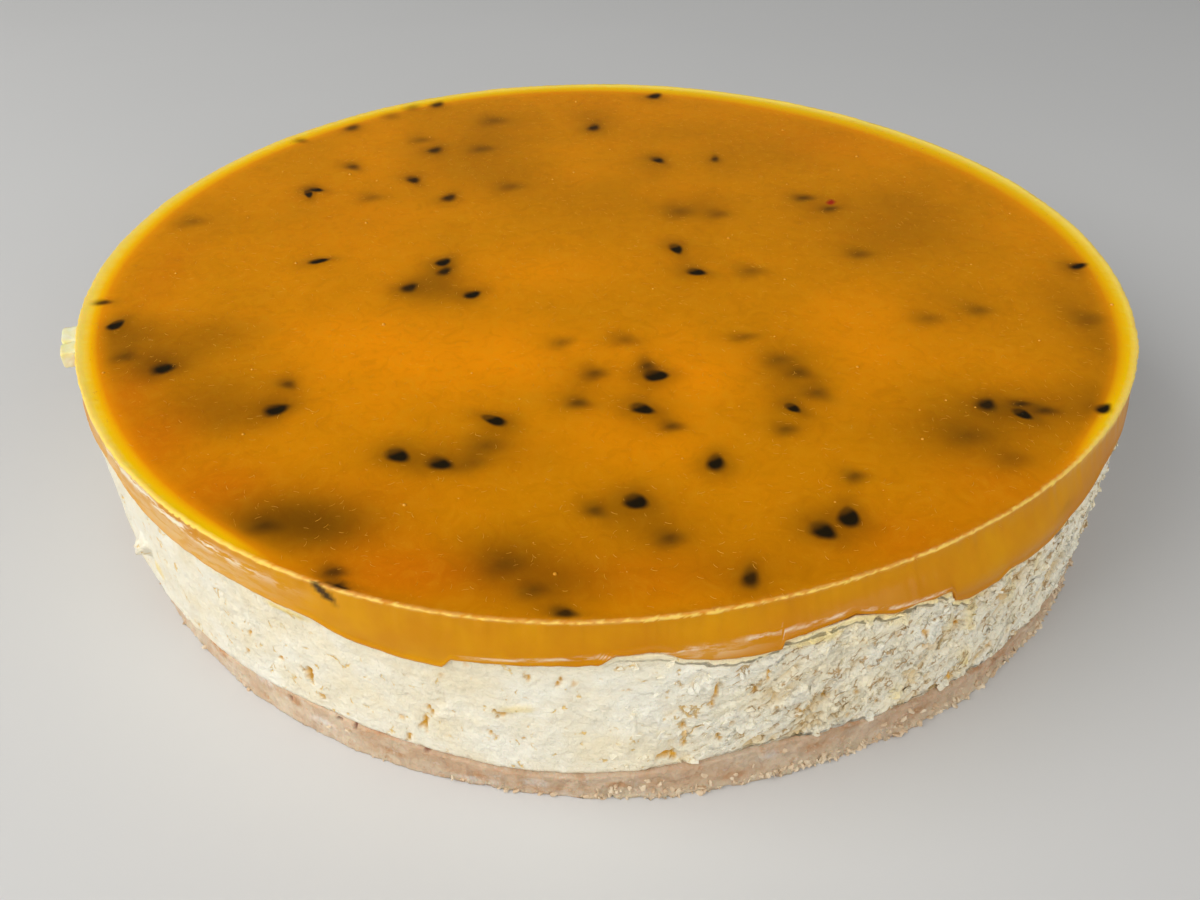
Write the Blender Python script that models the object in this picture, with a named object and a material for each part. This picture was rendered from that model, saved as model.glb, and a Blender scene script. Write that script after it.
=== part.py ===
"""A whole round cheesecake with a set passion fruit jelly on top, as it comes out of its tin.

Three layers, each its own solid: a pressed biscuit base, a cream cheese filling and the jelly.
Metres, +Z up. The origin is the middle of the flat underside. Azimuth is measured from +X
towards +Y, and the side that faces -Y (azimuth -90) is the front.
"""

import math

import bmesh
import bpy
from mathutils import Matrix, Vector, noise

MM = 0.001

# Driving sizes
TIN_RADIUS = 115.0 * MM
BASE_HEIGHT = 8.6 * MM
JELLY_SEAT = 33.8 * MM
JELLY_TOP = 41.5 * MM
MENISCUS_RISE = 0.4 * MM
LAYER_GAP = 0.3 * MM
INTERFACE_INSET = 6.0 * MM
SEGMENTS = 200

# Sizes that change round the cake, each stop an azimuth and a length in millimetres:
# how far the jelly's top edge is from the middle
RIM_RADII = (
    (-165, 115.2), (-150, 114.2), (-130, 114.4), (-110, 114.5), (-100, 114.2), (-90, 113.4),
    (-80, 112.1), (-70, 111.1), (-60, 111.0), (-50, 111.6), (-40, 112.7), (-30, 113.9),
    (-20, 115.2), (0, 115.2), (20, 114.6), (40, 113.4), (60, 113.4), (80, 114.6), (100, 116.0),
    (120, 116.6), (140, 115.8), (160, 116.0), (180, 115.8),
)
# how high the jelly's lower edge is
JELLY_EDGES = (
    (-165, 34.0), (-157, 34.8), (-144, 36.8), (-140, 36.8), (-137, 35.4), (-131, 34.2), (-119, 33.6),
    (-114, 33.1), (-112, 31.7), (-109, 30.7), (-104, 29.7), (-102, 32.0), (-98, 32.5), (-91, 33.4),
    (-89, 35.2), (-86, 35.6), (-84, 34.1), (-79, 33.0), (-76.5, 33.6), (-74.5, 35.2), (-71.5, 35.7),
    (-70, 36.1), (-67, 34.6), (-64.5, 34.6), (-61.5, 34.0), (-59.5, 31.2), (-58, 30.4), (-55, 30.3),
    (-53.6, 31.8), (-51.5, 30.8), (-48, 30.6), (-46, 31.3), (-41, 33.4), (-37, 34.6), (-30, 34.2),
    (-20, 33.8), (-5, 31.6), (8, 33.6), (24, 35.2), (38, 33.8), (47, 30.8), (58, 33.6), (80, 32.8),
    (100, 34.0), (112, 35.4), (124, 33.6), (131, 31.0), (139, 33.6), (163, 32.4), (178, 33.8),
)
# how high the base's upper edge is
BASE_EDGES = (
    (-160, 7.0), (-150, 6.6), (-140, 6.2), (-135, 5.5), (-130, 6.0), (-125, 7.2), (-120, 8.5),
    (-117, 8.7), (-110, 7.7), (-105, 6.8), (-100, 5.5), (-95, 5.0), (-90, 5.5), (-85, 6.7), (-80, 8.4),
    (-75, 9.1), (-70, 8.0), (-65, 7.6), (-60, 6.7), (-55, 5.9), (-50, 5.5), (-44, 4.8), (-30, 6.5),
    (-10, 8.4), (10, 8.0), (35, 9.6), (60, 8.0), (85, 9.2), (110, 7.6), (135, 9.4), (160, 8.2),
    (178, 8.4),
)
# how far the base's side is from the middle
BASE_RADII = (
    (-160, 113.4), (-145, 112.8), (-139, 112.9), (-133, 113.4), (-126, 113.9), (-120, 114.3),
    (-110, 114.7), (-100, 115.0), (-90, 115.1), (-80, 115.0), (-76, 114.7), (-71, 113.9), (-68, 113.8),
    (-64, 114.6), (-60, 115.0), (-45, 114.7), (-25, 114.0), (20, 113.9), (90, 114.4), (150, 113.9),
)
RIM_SOFTENED_OVER = 6.0
SIDE_FOLLOWS_RIM = 0.6

# Biscuit base
CRUMB_REACH = 0.7 * MM
CRUMB_SCALE = 160.0
BASE_FOOT_CHAMFER = 0.8 * MM
BASE_FOOT_HEIGHTS = (0.5 * MM, 1.6 * MM, 3.0 * MM)
BASE_WAIST_SHARE = 0.6
BASE_SHOULDER = 0.5 * MM

# Cream filling
CREAM_INSET = 0.7 * MM
CREAM_ROWS = 10
CREAM_CRAG = 0.75 * MM
CREAM_CRAG_SCALE = 95.0
CREAM_SWELL = 0.5 * MM
CREAM_SWELL_SCALE = 22.0
CREAM_ROUGH_AZIMUTH = -50.0
CREAM_ROUGH_LEAST = 0.35
CREAM_HELD_SHARE = 0.12

# A torn flap of filling that sticks out at the left: half sizes outwards, round and up
FLAP_AZIMUTH = -139.0
FLAP_HEIGHT = 19.5 * MM
FLAP_HALF_SIZES = (2.2 * MM, 2.9 * MM, 4.0 * MM)
FLAP_LEAN = 20.0
FLAP_REACH = 0.3 * MM

# Jelly rim, from the lower lip up to the flat top
JELLY_SEAT_INSET = 1.5 * MM
LIP_THICKNESS = 1.3 * MM
LIP_ROUNDING = 0.3 * MM
JELLY_SIDE_SHARES = (0.12, 0.55, 0.93)
MENISCUS_WIDTH = 2.2 * MM
SIDE_WAVE = 0.2 * MM
SIDE_WAVE_SCALE = 30.0

# A scrap of set jelly that stands out from the rim on the left
SCRAP_AZIMUTH = -163.5
SCRAP_HEIGHT = 39.8 * MM
SCRAP_SIZES = (6.0 * MM, 10.4 * MM, 3.2 * MM)
SCRAP_PROUD = 3.4 * MM
SCRAP_BEVEL = 0.9 * MM

# Seeds whose backs break through the top of the jelly, in millimetres from the middle:
# across, along, turn in degrees, half length, half width
SEED_HALF_THICKNESS = 1.1 * MM
SEED_PROUD = 0.35 * MM
PROUD_SEEDS = (
    (10.0, -48.8, 4, 2.5, 1.9), (-20.7, -63.2, 150, 2.7, 1.3), (7.0, -59.8, -28, 2.5, 1.6),
    (5.2, -86.2, -30, 2.2, 1.9), (35.2, -59.6, -50, 1.8, 1.1), (77.6, -61.6, -50, 2.0, 1.3),
    (40.1, -90.0, 82, 2.6, 1.8), (-76.6, 34.6, -70, 2.6, 1.0), (-66.2, -1.7, 20, 2.4, 1.2),
    (-37.3, -2.2, 60, 2.1, 1.6), (-103.0, -29.5, 70, 2.2, 1.5), (16.7, 4.0, -75, 2.6, 1.5),
    (20.7, -7.3, -20, 2.3, 1.6),
)


def smooth_step(low, high, value):
    """0 below low, 1 above high, and a smooth rise between."""
    share = min(1.0, max(0.0, (value - low) / (high - low)))
    return share * share * (3.0 - 2.0 * share)


def on_rim(azimuth, radius, height):
    angle = math.radians(azimuth)
    return Vector((radius * math.cos(angle), radius * math.sin(angle), height))


def crumbs(azimuth, height):
    """Uneven grains pressed into the biscuit, as a reach outwards."""
    place = on_rim(azimuth, TIN_RADIUS, height) * CRUMB_SCALE
    return CRUMB_REACH * noise.noise(place)


def around(azimuth, stops):
    """Reads a length round the cake from its stops."""
    turned = (azimuth - stops[0][0]) % 360.0
    closed = (*stops, (stops[0][0] + 360.0, stops[0][1]))
    for (low, first), (high, second) in zip(closed, closed[1:]):
        start, end = low - stops[0][0], high - stops[0][0]
        if start <= turned <= end:
            return (first + (second - first) * (turned - start) / (end - start)) * MM
    return stops[0][1] * MM


def rim_radius(azimuth):
    steps = (-RIM_SOFTENED_OVER, 0.0, RIM_SOFTENED_OVER)
    return sum(around(azimuth + step, RIM_RADII) for step in steps) / len(steps)


def side_radius(azimuth):
    """How far the cake's side is from the middle, just under the jelly's rim."""
    return TIN_RADIUS + SIDE_FOLLOWS_RIM * max(rim_radius(azimuth) - TIN_RADIUS, 0.0)


def base_radius(azimuth):
    return around(azimuth, BASE_RADII)


def base_edge(azimuth):
    """Height at the rim where the biscuit meets the filling."""
    return around(azimuth, BASE_EDGES)


def jelly_edge(azimuth):
    """Height at the rim where the jelly meets the filling."""
    return around(azimuth, JELLY_EDGES)


def cream_relief(azimuth, share):
    """Crags and swells of the filling's side, where share runs from 0 at the foot to 1 at the top."""
    height = BASE_HEIGHT + share * (JELLY_SEAT - BASE_HEIGHT)
    place = on_rim(azimuth, TIN_RADIUS, height)
    facing = 0.5 + 0.5 * math.cos(math.radians(azimuth - CREAM_ROUGH_AZIMUTH))
    roughness = CREAM_ROUGH_LEAST + (1.0 - CREAM_ROUGH_LEAST) * facing
    crag = CREAM_CRAG * roughness * noise.noise(place * CREAM_CRAG_SCALE)
    swell = CREAM_SWELL * noise.noise(place * CREAM_SWELL_SCALE)
    held = smooth_step(0.0, CREAM_HELD_SHARE, share) * smooth_step(0.0, CREAM_HELD_SHARE, 1.0 - share)
    return (crag + swell) * held


def base_rows():
    """Profile of the biscuit base from its underside to its top, as functions of azimuth."""

    def waist(a):
        height = BASE_WAIST_SHARE * base_edge(a)
        return base_radius(a) + 0.5 * crumbs(a, height), height

    rows = [lambda a: (base_radius(a) - BASE_FOOT_CHAMFER + crumbs(a, 0.0), 0.0)]
    for height in BASE_FOOT_HEIGHTS:
        rows.append(lambda a, h=height: (base_radius(a) + crumbs(a, h), h))
    rows.append(waist)
    rows.append(lambda a: (base_radius(a), base_edge(a) - BASE_SHOULDER))
    rows.append(lambda a: (base_radius(a) - BASE_SHOULDER, base_edge(a)))
    rows.append(lambda a: (TIN_RADIUS - INTERFACE_INSET, BASE_HEIGHT))
    return rows


def cream_rows():
    """Profile of the filling, from its underside up the rough side to the jelly's seat."""
    rows = [
        lambda a: (TIN_RADIUS - INTERFACE_INSET, BASE_HEIGHT + LAYER_GAP),
        lambda a: (base_radius(a) - BASE_SHOULDER, base_edge(a) + LAYER_GAP),
    ]
    for step in range(CREAM_ROWS):
        share = (step + 0.5) / CREAM_ROWS

        def side(a, share=share):
            foot = base_edge(a) + 2.0 * LAYER_GAP
            top = jelly_edge(a) - LAYER_GAP
            radius = side_radius(a) - CREAM_INSET + cream_relief(a, share)
            return radius, foot + share * (top - foot)

        rows.append(side)
    rows.append(lambda a: (TIN_RADIUS - LIP_THICKNESS, jelly_edge(a)))
    rows.append(lambda a: (TIN_RADIUS - LIP_THICKNESS - JELLY_SEAT_INSET, JELLY_SEAT))
    return rows


def jelly_rows():
    """Profile of the jelly, from its seat out under the lip, up the side and over the rim."""

    def side(a, share):
        low = jelly_edge(a) + LAYER_GAP
        height = low + share * (JELLY_TOP - low)
        wave = noise.noise(on_rim(a, TIN_RADIUS, height) * SIDE_WAVE_SCALE)
        leaning = rim_radius(a) + (side_radius(a) - rim_radius(a)) * (1.0 - share)
        return leaning + SIDE_WAVE * wave, height

    rows = [
        lambda a: (TIN_RADIUS - LIP_THICKNESS - JELLY_SEAT_INSET, JELLY_SEAT + LAYER_GAP),
        lambda a: (TIN_RADIUS - LIP_THICKNESS, jelly_edge(a) + LAYER_GAP),
        lambda a: (side(a, 0.0)[0] - LIP_ROUNDING, jelly_edge(a) + LAYER_GAP),
    ]
    for share in JELLY_SIDE_SHARES:
        rows.append(lambda a, share=share: side(a, share))
    rows.append(lambda a: (side(a, 1.0)[0] - LIP_ROUNDING, JELLY_TOP + MENISCUS_RISE))
    rows.append(lambda a: (rim_radius(a) - MENISCUS_WIDTH, JELLY_TOP))
    return rows


def turned_mesh(name, rows):
    """A closed solid whose side is the profile rows, each carried round the axis."""
    shape = bmesh.new()
    azimuths = [360.0 * i / SEGMENTS - 180.0 for i in range(SEGMENTS)]
    rings = [[shape.verts.new(on_rim(a, *row(a))) for a in azimuths] for row in rows]
    foot = shape.verts.new((0.0, 0.0, rings[0][0].co.z))
    head = shape.verts.new((0.0, 0.0, rings[-1][0].co.z))
    for i in range(SEGMENTS):
        j = (i + 1) % SEGMENTS
        shape.faces.new((foot, rings[0][j], rings[0][i]))
        for below, above in zip(rings, rings[1:]):
            shape.faces.new((below[i], below[j], above[j], above[i]))
        shape.faces.new((rings[-1][i], rings[-1][j], head))
    bmesh.ops.triangulate(shape, faces=shape.faces)
    bmesh.ops.recalc_face_normals(shape, faces=shape.faces)
    mesh = bpy.data.meshes.new(name)
    shape.to_mesh(mesh)
    shape.free()
    return mesh


def add_object(name, mesh, collection=None):
    made = bpy.data.objects.new(name, mesh)
    (collection or bpy.context.scene.collection).objects.link(made)
    return made


def shifted(azimuth, distance, height, turn, lean=0.0):
    """A place on the cake, turned about the upright and then leant outwards, in degrees."""
    placed = Matrix.Translation(on_rim(azimuth, distance, height))
    placed = placed @ Matrix.Rotation(math.radians(turn), 4, "Z")
    return placed @ Matrix.Rotation(-math.radians(lean), 4, "Y")


def egg_mesh(name, half_sizes, placed, fineness):
    """A faceted egg of the given half sizes, set down at the matrix placed."""
    shape = bmesh.new()
    bmesh.ops.create_icosphere(shape, subdivisions=fineness, radius=1.0)
    bmesh.ops.transform(shape, matrix=placed @ Matrix.Diagonal((*half_sizes, 1.0)), verts=shape.verts)
    mesh = bpy.data.meshes.new(name)
    shape.to_mesh(mesh)
    shape.free()
    return mesh


def seed_mesh(name, across, along, turn, half_length, half_width):
    """A flat seed lying in the jelly with its back just out of it."""
    height = JELLY_TOP + SEED_PROUD - SEED_HALF_THICKNESS
    placed = Matrix.Translation((across * MM, along * MM, height))
    placed = placed @ Matrix.Rotation(math.radians(turn), 4, "Z")
    half_sizes = (half_length * MM, half_width * MM, SEED_HALF_THICKNESS)
    return egg_mesh(name, half_sizes, placed, 1)


def scrap_mesh(name):
    """A small bevelled slab of jelly lying against the rim."""
    shape = bmesh.new()
    bmesh.ops.create_cube(shape, size=1.0)
    bmesh.ops.transform(shape, matrix=Matrix.Diagonal((*SCRAP_SIZES, 1.0)), verts=shape.verts)
    bmesh.ops.bevel(shape, geom=shape.edges[:], offset=SCRAP_BEVEL, segments=2, affect="EDGES")
    centre = TIN_RADIUS + SCRAP_PROUD - SCRAP_SIZES[0] / 2
    placed = shifted(SCRAP_AZIMUTH, centre, SCRAP_HEIGHT, SCRAP_AZIMUTH)
    bmesh.ops.transform(shape, matrix=placed, verts=shape.verts)
    mesh = bpy.data.meshes.new(name)
    shape.to_mesh(mesh)
    shape.free()
    return mesh


def flap_mesh(name):
    """The torn flap of filling, leaning out from the side with its lower end free."""
    placed = shifted(FLAP_AZIMUTH, TIN_RADIUS + FLAP_REACH, FLAP_HEIGHT, FLAP_AZIMUTH, FLAP_LEAN)
    return egg_mesh(name, FLAP_HALF_SIZES, placed, 2)


def fuse(target, meshes):
    """Joins loose bits to the target with one Boolean union, then removes them."""
    bits = bpy.data.collections.new(target.name + "_bits")
    bpy.context.scene.collection.children.link(bits)
    for mesh in meshes:
        add_object(mesh.name, mesh, bits)
    union = target.modifiers.new("join_bits", "BOOLEAN")
    union.operation = "UNION"
    union.operand_type = "COLLECTION"
    union.collection = bits
    union.solver = "EXACT"
    bpy.context.view_layer.update()
    graph = bpy.context.evaluated_depsgraph_get()
    joined = bpy.data.meshes.new_from_object(target.evaluated_get(graph))
    target.modifiers.remove(union)
    target.data = joined
    for bit in list(bits.objects):
        bpy.data.objects.remove(bit)
    bpy.data.collections.remove(bits)


def finish_of(name, colour, roughness):
    """A plain food finish."""
    material = bpy.data.materials.new(name)
    material.use_nodes = True
    shader = material.node_tree.nodes["Principled BSDF"]
    shader.inputs["Base Color"].default_value = (*colour, 1.0)
    shader.inputs["Roughness"].default_value = roughness
    shader.inputs["Metallic"].default_value = 0.0
    return material


def make_base():
    base = add_object("biscuit_base", turned_mesh("biscuit_base", base_rows()))
    base.data.materials.append(finish_of("pressed_biscuit", (0.60, 0.39, 0.24), 0.75))


def make_filling():
    filling = add_object("cream_filling", turned_mesh("cream_filling", cream_rows()))
    fuse(filling, [flap_mesh("torn_flap")])
    filling.data.materials.clear()
    filling.data.materials.append(finish_of("cream_cheese", (0.86, 0.79, 0.57), 0.6))


def make_jelly():
    jelly = add_object("passionfruit_jelly", turned_mesh("passionfruit_jelly", jelly_rows()))
    bits = [seed_mesh(f"proud_seed_{i}", *seed) for i, seed in enumerate(PROUD_SEEDS)]
    fuse(jelly, bits + [scrap_mesh("jelly_scrap")])
    jelly.data.materials.clear()
    jelly.data.materials.append(finish_of("set_jelly", (0.82, 0.36, 0.02), 0.12))


def main():
    for obj in list(bpy.data.objects):
        bpy.data.objects.remove(obj)
    make_base()
    make_filling()
    make_jelly()


main()
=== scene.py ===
"""Looks of a whole round cheesecake with a set passion fruit jelly on top.

Metres, +Z up, the origin in the middle of the flat underside. Azimuth is measured in degrees
from +X towards +Y, and the side that faces -Y (azimuth -90) is the front.
"""

import math

import bmesh
import bpy
import numpy as np
from mathutils import Matrix, Vector


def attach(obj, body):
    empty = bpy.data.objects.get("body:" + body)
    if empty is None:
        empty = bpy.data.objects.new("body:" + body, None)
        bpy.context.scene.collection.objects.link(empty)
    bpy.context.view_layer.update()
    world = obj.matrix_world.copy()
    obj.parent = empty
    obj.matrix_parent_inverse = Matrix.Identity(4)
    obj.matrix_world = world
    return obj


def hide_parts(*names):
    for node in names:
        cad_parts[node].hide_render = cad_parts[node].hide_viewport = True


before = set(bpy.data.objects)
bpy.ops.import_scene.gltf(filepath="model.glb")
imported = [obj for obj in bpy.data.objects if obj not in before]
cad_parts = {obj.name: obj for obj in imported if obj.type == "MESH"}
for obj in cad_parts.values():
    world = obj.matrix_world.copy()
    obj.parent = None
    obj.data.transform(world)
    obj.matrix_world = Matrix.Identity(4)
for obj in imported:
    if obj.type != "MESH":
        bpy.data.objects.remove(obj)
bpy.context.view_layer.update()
MM = 0.001

# The width of the photograph's frame, and the camera that matches it
IMAGE_WIDTH = 1200
FOCAL_PIXELS = 1050.0
SENSOR_WIDTH = 36.0
CAMERA_PLACE = Vector((0.0, -219.0 * MM, 157.8 * MM))
CAMERA_PITCH = math.radians(38.37)
CAMERA_YAW = 0.0064
CAMERA_ROLL = -0.0052

# Sizes shared with the solids
TIN_RADIUS = 115.0 * MM
BASE_HEIGHT = 8.6 * MM
JELLY_SEAT = 33.8 * MM
JELLY_TOP = 41.5 * MM
LAYER_GAP = 0.3 * MM
INTERFACE_INSET = 6.0 * MM
CREAM_INSET = 0.7 * MM
LIP_THICKNESS = 1.3 * MM
JELLY_SEAT_INSET = 1.5 * MM
BULGE_KEPT_BELOW = 0.6
EDGE_UNEVENNESS = 0.22 * MM

# What changes round the cake, each stop an azimuth and a value in millimetres:
# how far the jelly's top edge is from the middle
RIM_RADII = (
    (-165, 115.2), (-150, 114.2), (-130, 114.4), (-110, 114.5), (-100, 114.2), (-90, 113.4),
    (-80, 112.1), (-70, 111.1), (-60, 111.0), (-50, 111.6), (-40, 112.7), (-30, 113.9),
    (-20, 115.2), (0, 115.2), (20, 114.6), (40, 113.4), (60, 113.4), (80, 114.6), (100, 116.0),
    (120, 116.6), (140, 115.8), (160, 116.0), (180, 115.8),
)
# how high the jelly's lower edge is
JELLY_EDGES = (
    (-165, 34.0), (-157, 34.8), (-150, 35.7), (-144, 36.8), (-140, 36.8), (-137, 35.4), (-134, 34.8),
    (-131, 34.2), (-125, 33.9), (-119, 33.6), (-114, 33.1), (-112, 31.7), (-109.5, 30.7), (-105, 29.9),
    (-102.7, 29.7), (-102.0, 32.0), (-98, 32.5), (-94.5, 32.9), (-90.5, 33.4), (-89.3, 35.2),
    (-86, 35.6), (-84, 34.1), (-81.6, 33.3), (-79, 33.0), (-76.4, 33.4), (-76.1, 34.9), (-73.8, 35.4),
    (-71.5, 35.7), (-70, 36.2), (-66.5, 34.4), (-64.5, 34.6), (-60.7, 34.0), (-60.3, 31.6),
    (-58.6, 30.4), (-55, 30.3), (-53.6, 31.8), (-51.5, 30.8), (-48, 30.6), (-46, 31.3), (-44.5, 32.4),
    (-41, 33.4), (-37, 34.6), (-30, 34.2), (-20, 33.8), (-5, 31.6), (8, 33.6), (24, 35.2), (38, 33.8),
    (47, 30.8), (58, 33.6), (80, 32.8), (100, 34.0), (112, 35.4), (124, 33.6), (131, 31.0), (139, 33.6),
    (163, 32.4), (178, 33.8),
)
# how high the base's upper edge is
BASE_EDGES = (
    (-160, 7.0), (-150, 6.6), (-140, 6.2), (-135, 5.5), (-130, 6.0), (-125, 7.2), (-120, 8.5),
    (-117, 8.7), (-110, 7.7), (-105, 6.8), (-100, 5.5), (-95, 5.0), (-90, 5.5), (-85, 6.7), (-80, 8.4),
    (-75, 9.1), (-70, 8.0), (-65, 7.6), (-60, 6.7), (-55, 5.9), (-50, 5.5), (-44, 4.8), (-30, 6.5),
    (-10, 8.4), (10, 8.0), (35, 9.6), (60, 8.0), (85, 9.2), (110, 7.6), (135, 9.4), (160, 8.2),
    (178, 8.4),
)
# how far the base's side is from the middle
BASE_RADII = (
    (-160, 113.4), (-145, 112.8), (-139, 112.9), (-133, 113.4), (-126, 113.9), (-120, 114.3),
    (-110, 114.7), (-100, 115.0), (-90, 115.1), (-80, 115.0), (-76, 114.7), (-71, 113.9), (-68, 113.8),
    (-64, 114.6), (-60, 115.0), (-45, 114.7), (-25, 114.0), (20, 113.9), (90, 114.4), (150, 113.9),
)
# how far the yellow light reaches into the jelly from its rim
GLOW_WIDTHS = (
    (-165, 7.5), (-150, 6.8), (-135, 5.8), (-120, 4.8), (-110, 3.2), (-90, 1.5), (-60, 1.8), (-45, 3.4),
    (-30, 6.0), (-15, 8.0), (0, 9.0), (30, 13.0), (60, 14.0), (90, 11.0), (120, 10.0), (150, 9.0),
    (180, 8.5),
)
# how wide the pale edge of painted light at the rim is
PALE_WIDTHS = (
    (-165, 2.6), (-150, 1.8), (-130, 0.8), (-115, 0.2), (-60, 0.2), (-40, 0.8), (-20, 1.6), (0, 2.2),
    (30, 3.2), (60, 3.4), (90, 2.6), (120, 2.2), (150, 2.0), (180, 2.4),
)
# where a groove runs along the wall above the lip, with a painted highlight line along it
CREASE_HEIGHTS = (
    (-101, 33.4), (-95, 34.6), (-90, 35.6), (-85, 36.0), (-80, 36.3), (-75, 36.8), (-70, 37.2),
    (-66, 35.6), (-61, 35.2),
)
# where white smears lie on the wall at the left, partly cream smeared thin over the jelly and partly painted
# reflection
SMEAR_HEIGHTS = ((-146, 41.2), (-140, 40.8), (-135, 40.4), (-130, 39.9), (-125, 39.1), (-114, 38.4))

# Stretches round the cake, by azimuth: where each starts, is full, starts to end, and ends
# where the groove above the lip carries a painted highlight line
HIGHLIT_CREASE = (-102.0, -99.5, -62.0, -60.5)
CREASED_FORM = (-102.0, -99.0, -62.0, -60.0)
MILKY_WALL = (-152.0, -142.0, -128.0, -112.0)
# where painted shade darkens the jelly's wall
SHADED_WALL = (-108.0, -76.0, 0.0, 50.0)
CRUMBLY_BASE = (-104.0, -84.0, 20.0, 60.0)
# where painted shade darkens the base
SHADED_BASE = (-125.0, -95.0, 20.0, 70.0)

# Jelly
JELLY_RINGS = 108
JELLY_RING_WIDTH = 1.0 * MM
RIM_RISE = 0.3 * MM
RIM_REACH = 2.2 * MM
RIM_ROUNDING = 0.35 * MM
WALL_WAVES = 0.12 * MM
LIP_ROWS = (2.6, 2.1, 1.7, 1.4, 1.15, 0.9, 0.7, 0.5, 0.32, 0.16, 0.05)
RIPPLE = 0.05 * MM
# how near a seed the top's faces are split, once and twice, and for which seeds
REFINING = ((4.2 * MM, 0.35), (3.2 * MM, 0.7))

# The scrap of set jelly that stands out from the rim on the left
SCRAP_AZIMUTH = -162.6
SCRAP_HEIGHT = 39.6 * MM
SCRAP_SIZES = (5.4 * MM, 11.0 * MM, 3.4 * MM)
SCRAP_PROUD = 3.2 * MM

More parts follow.
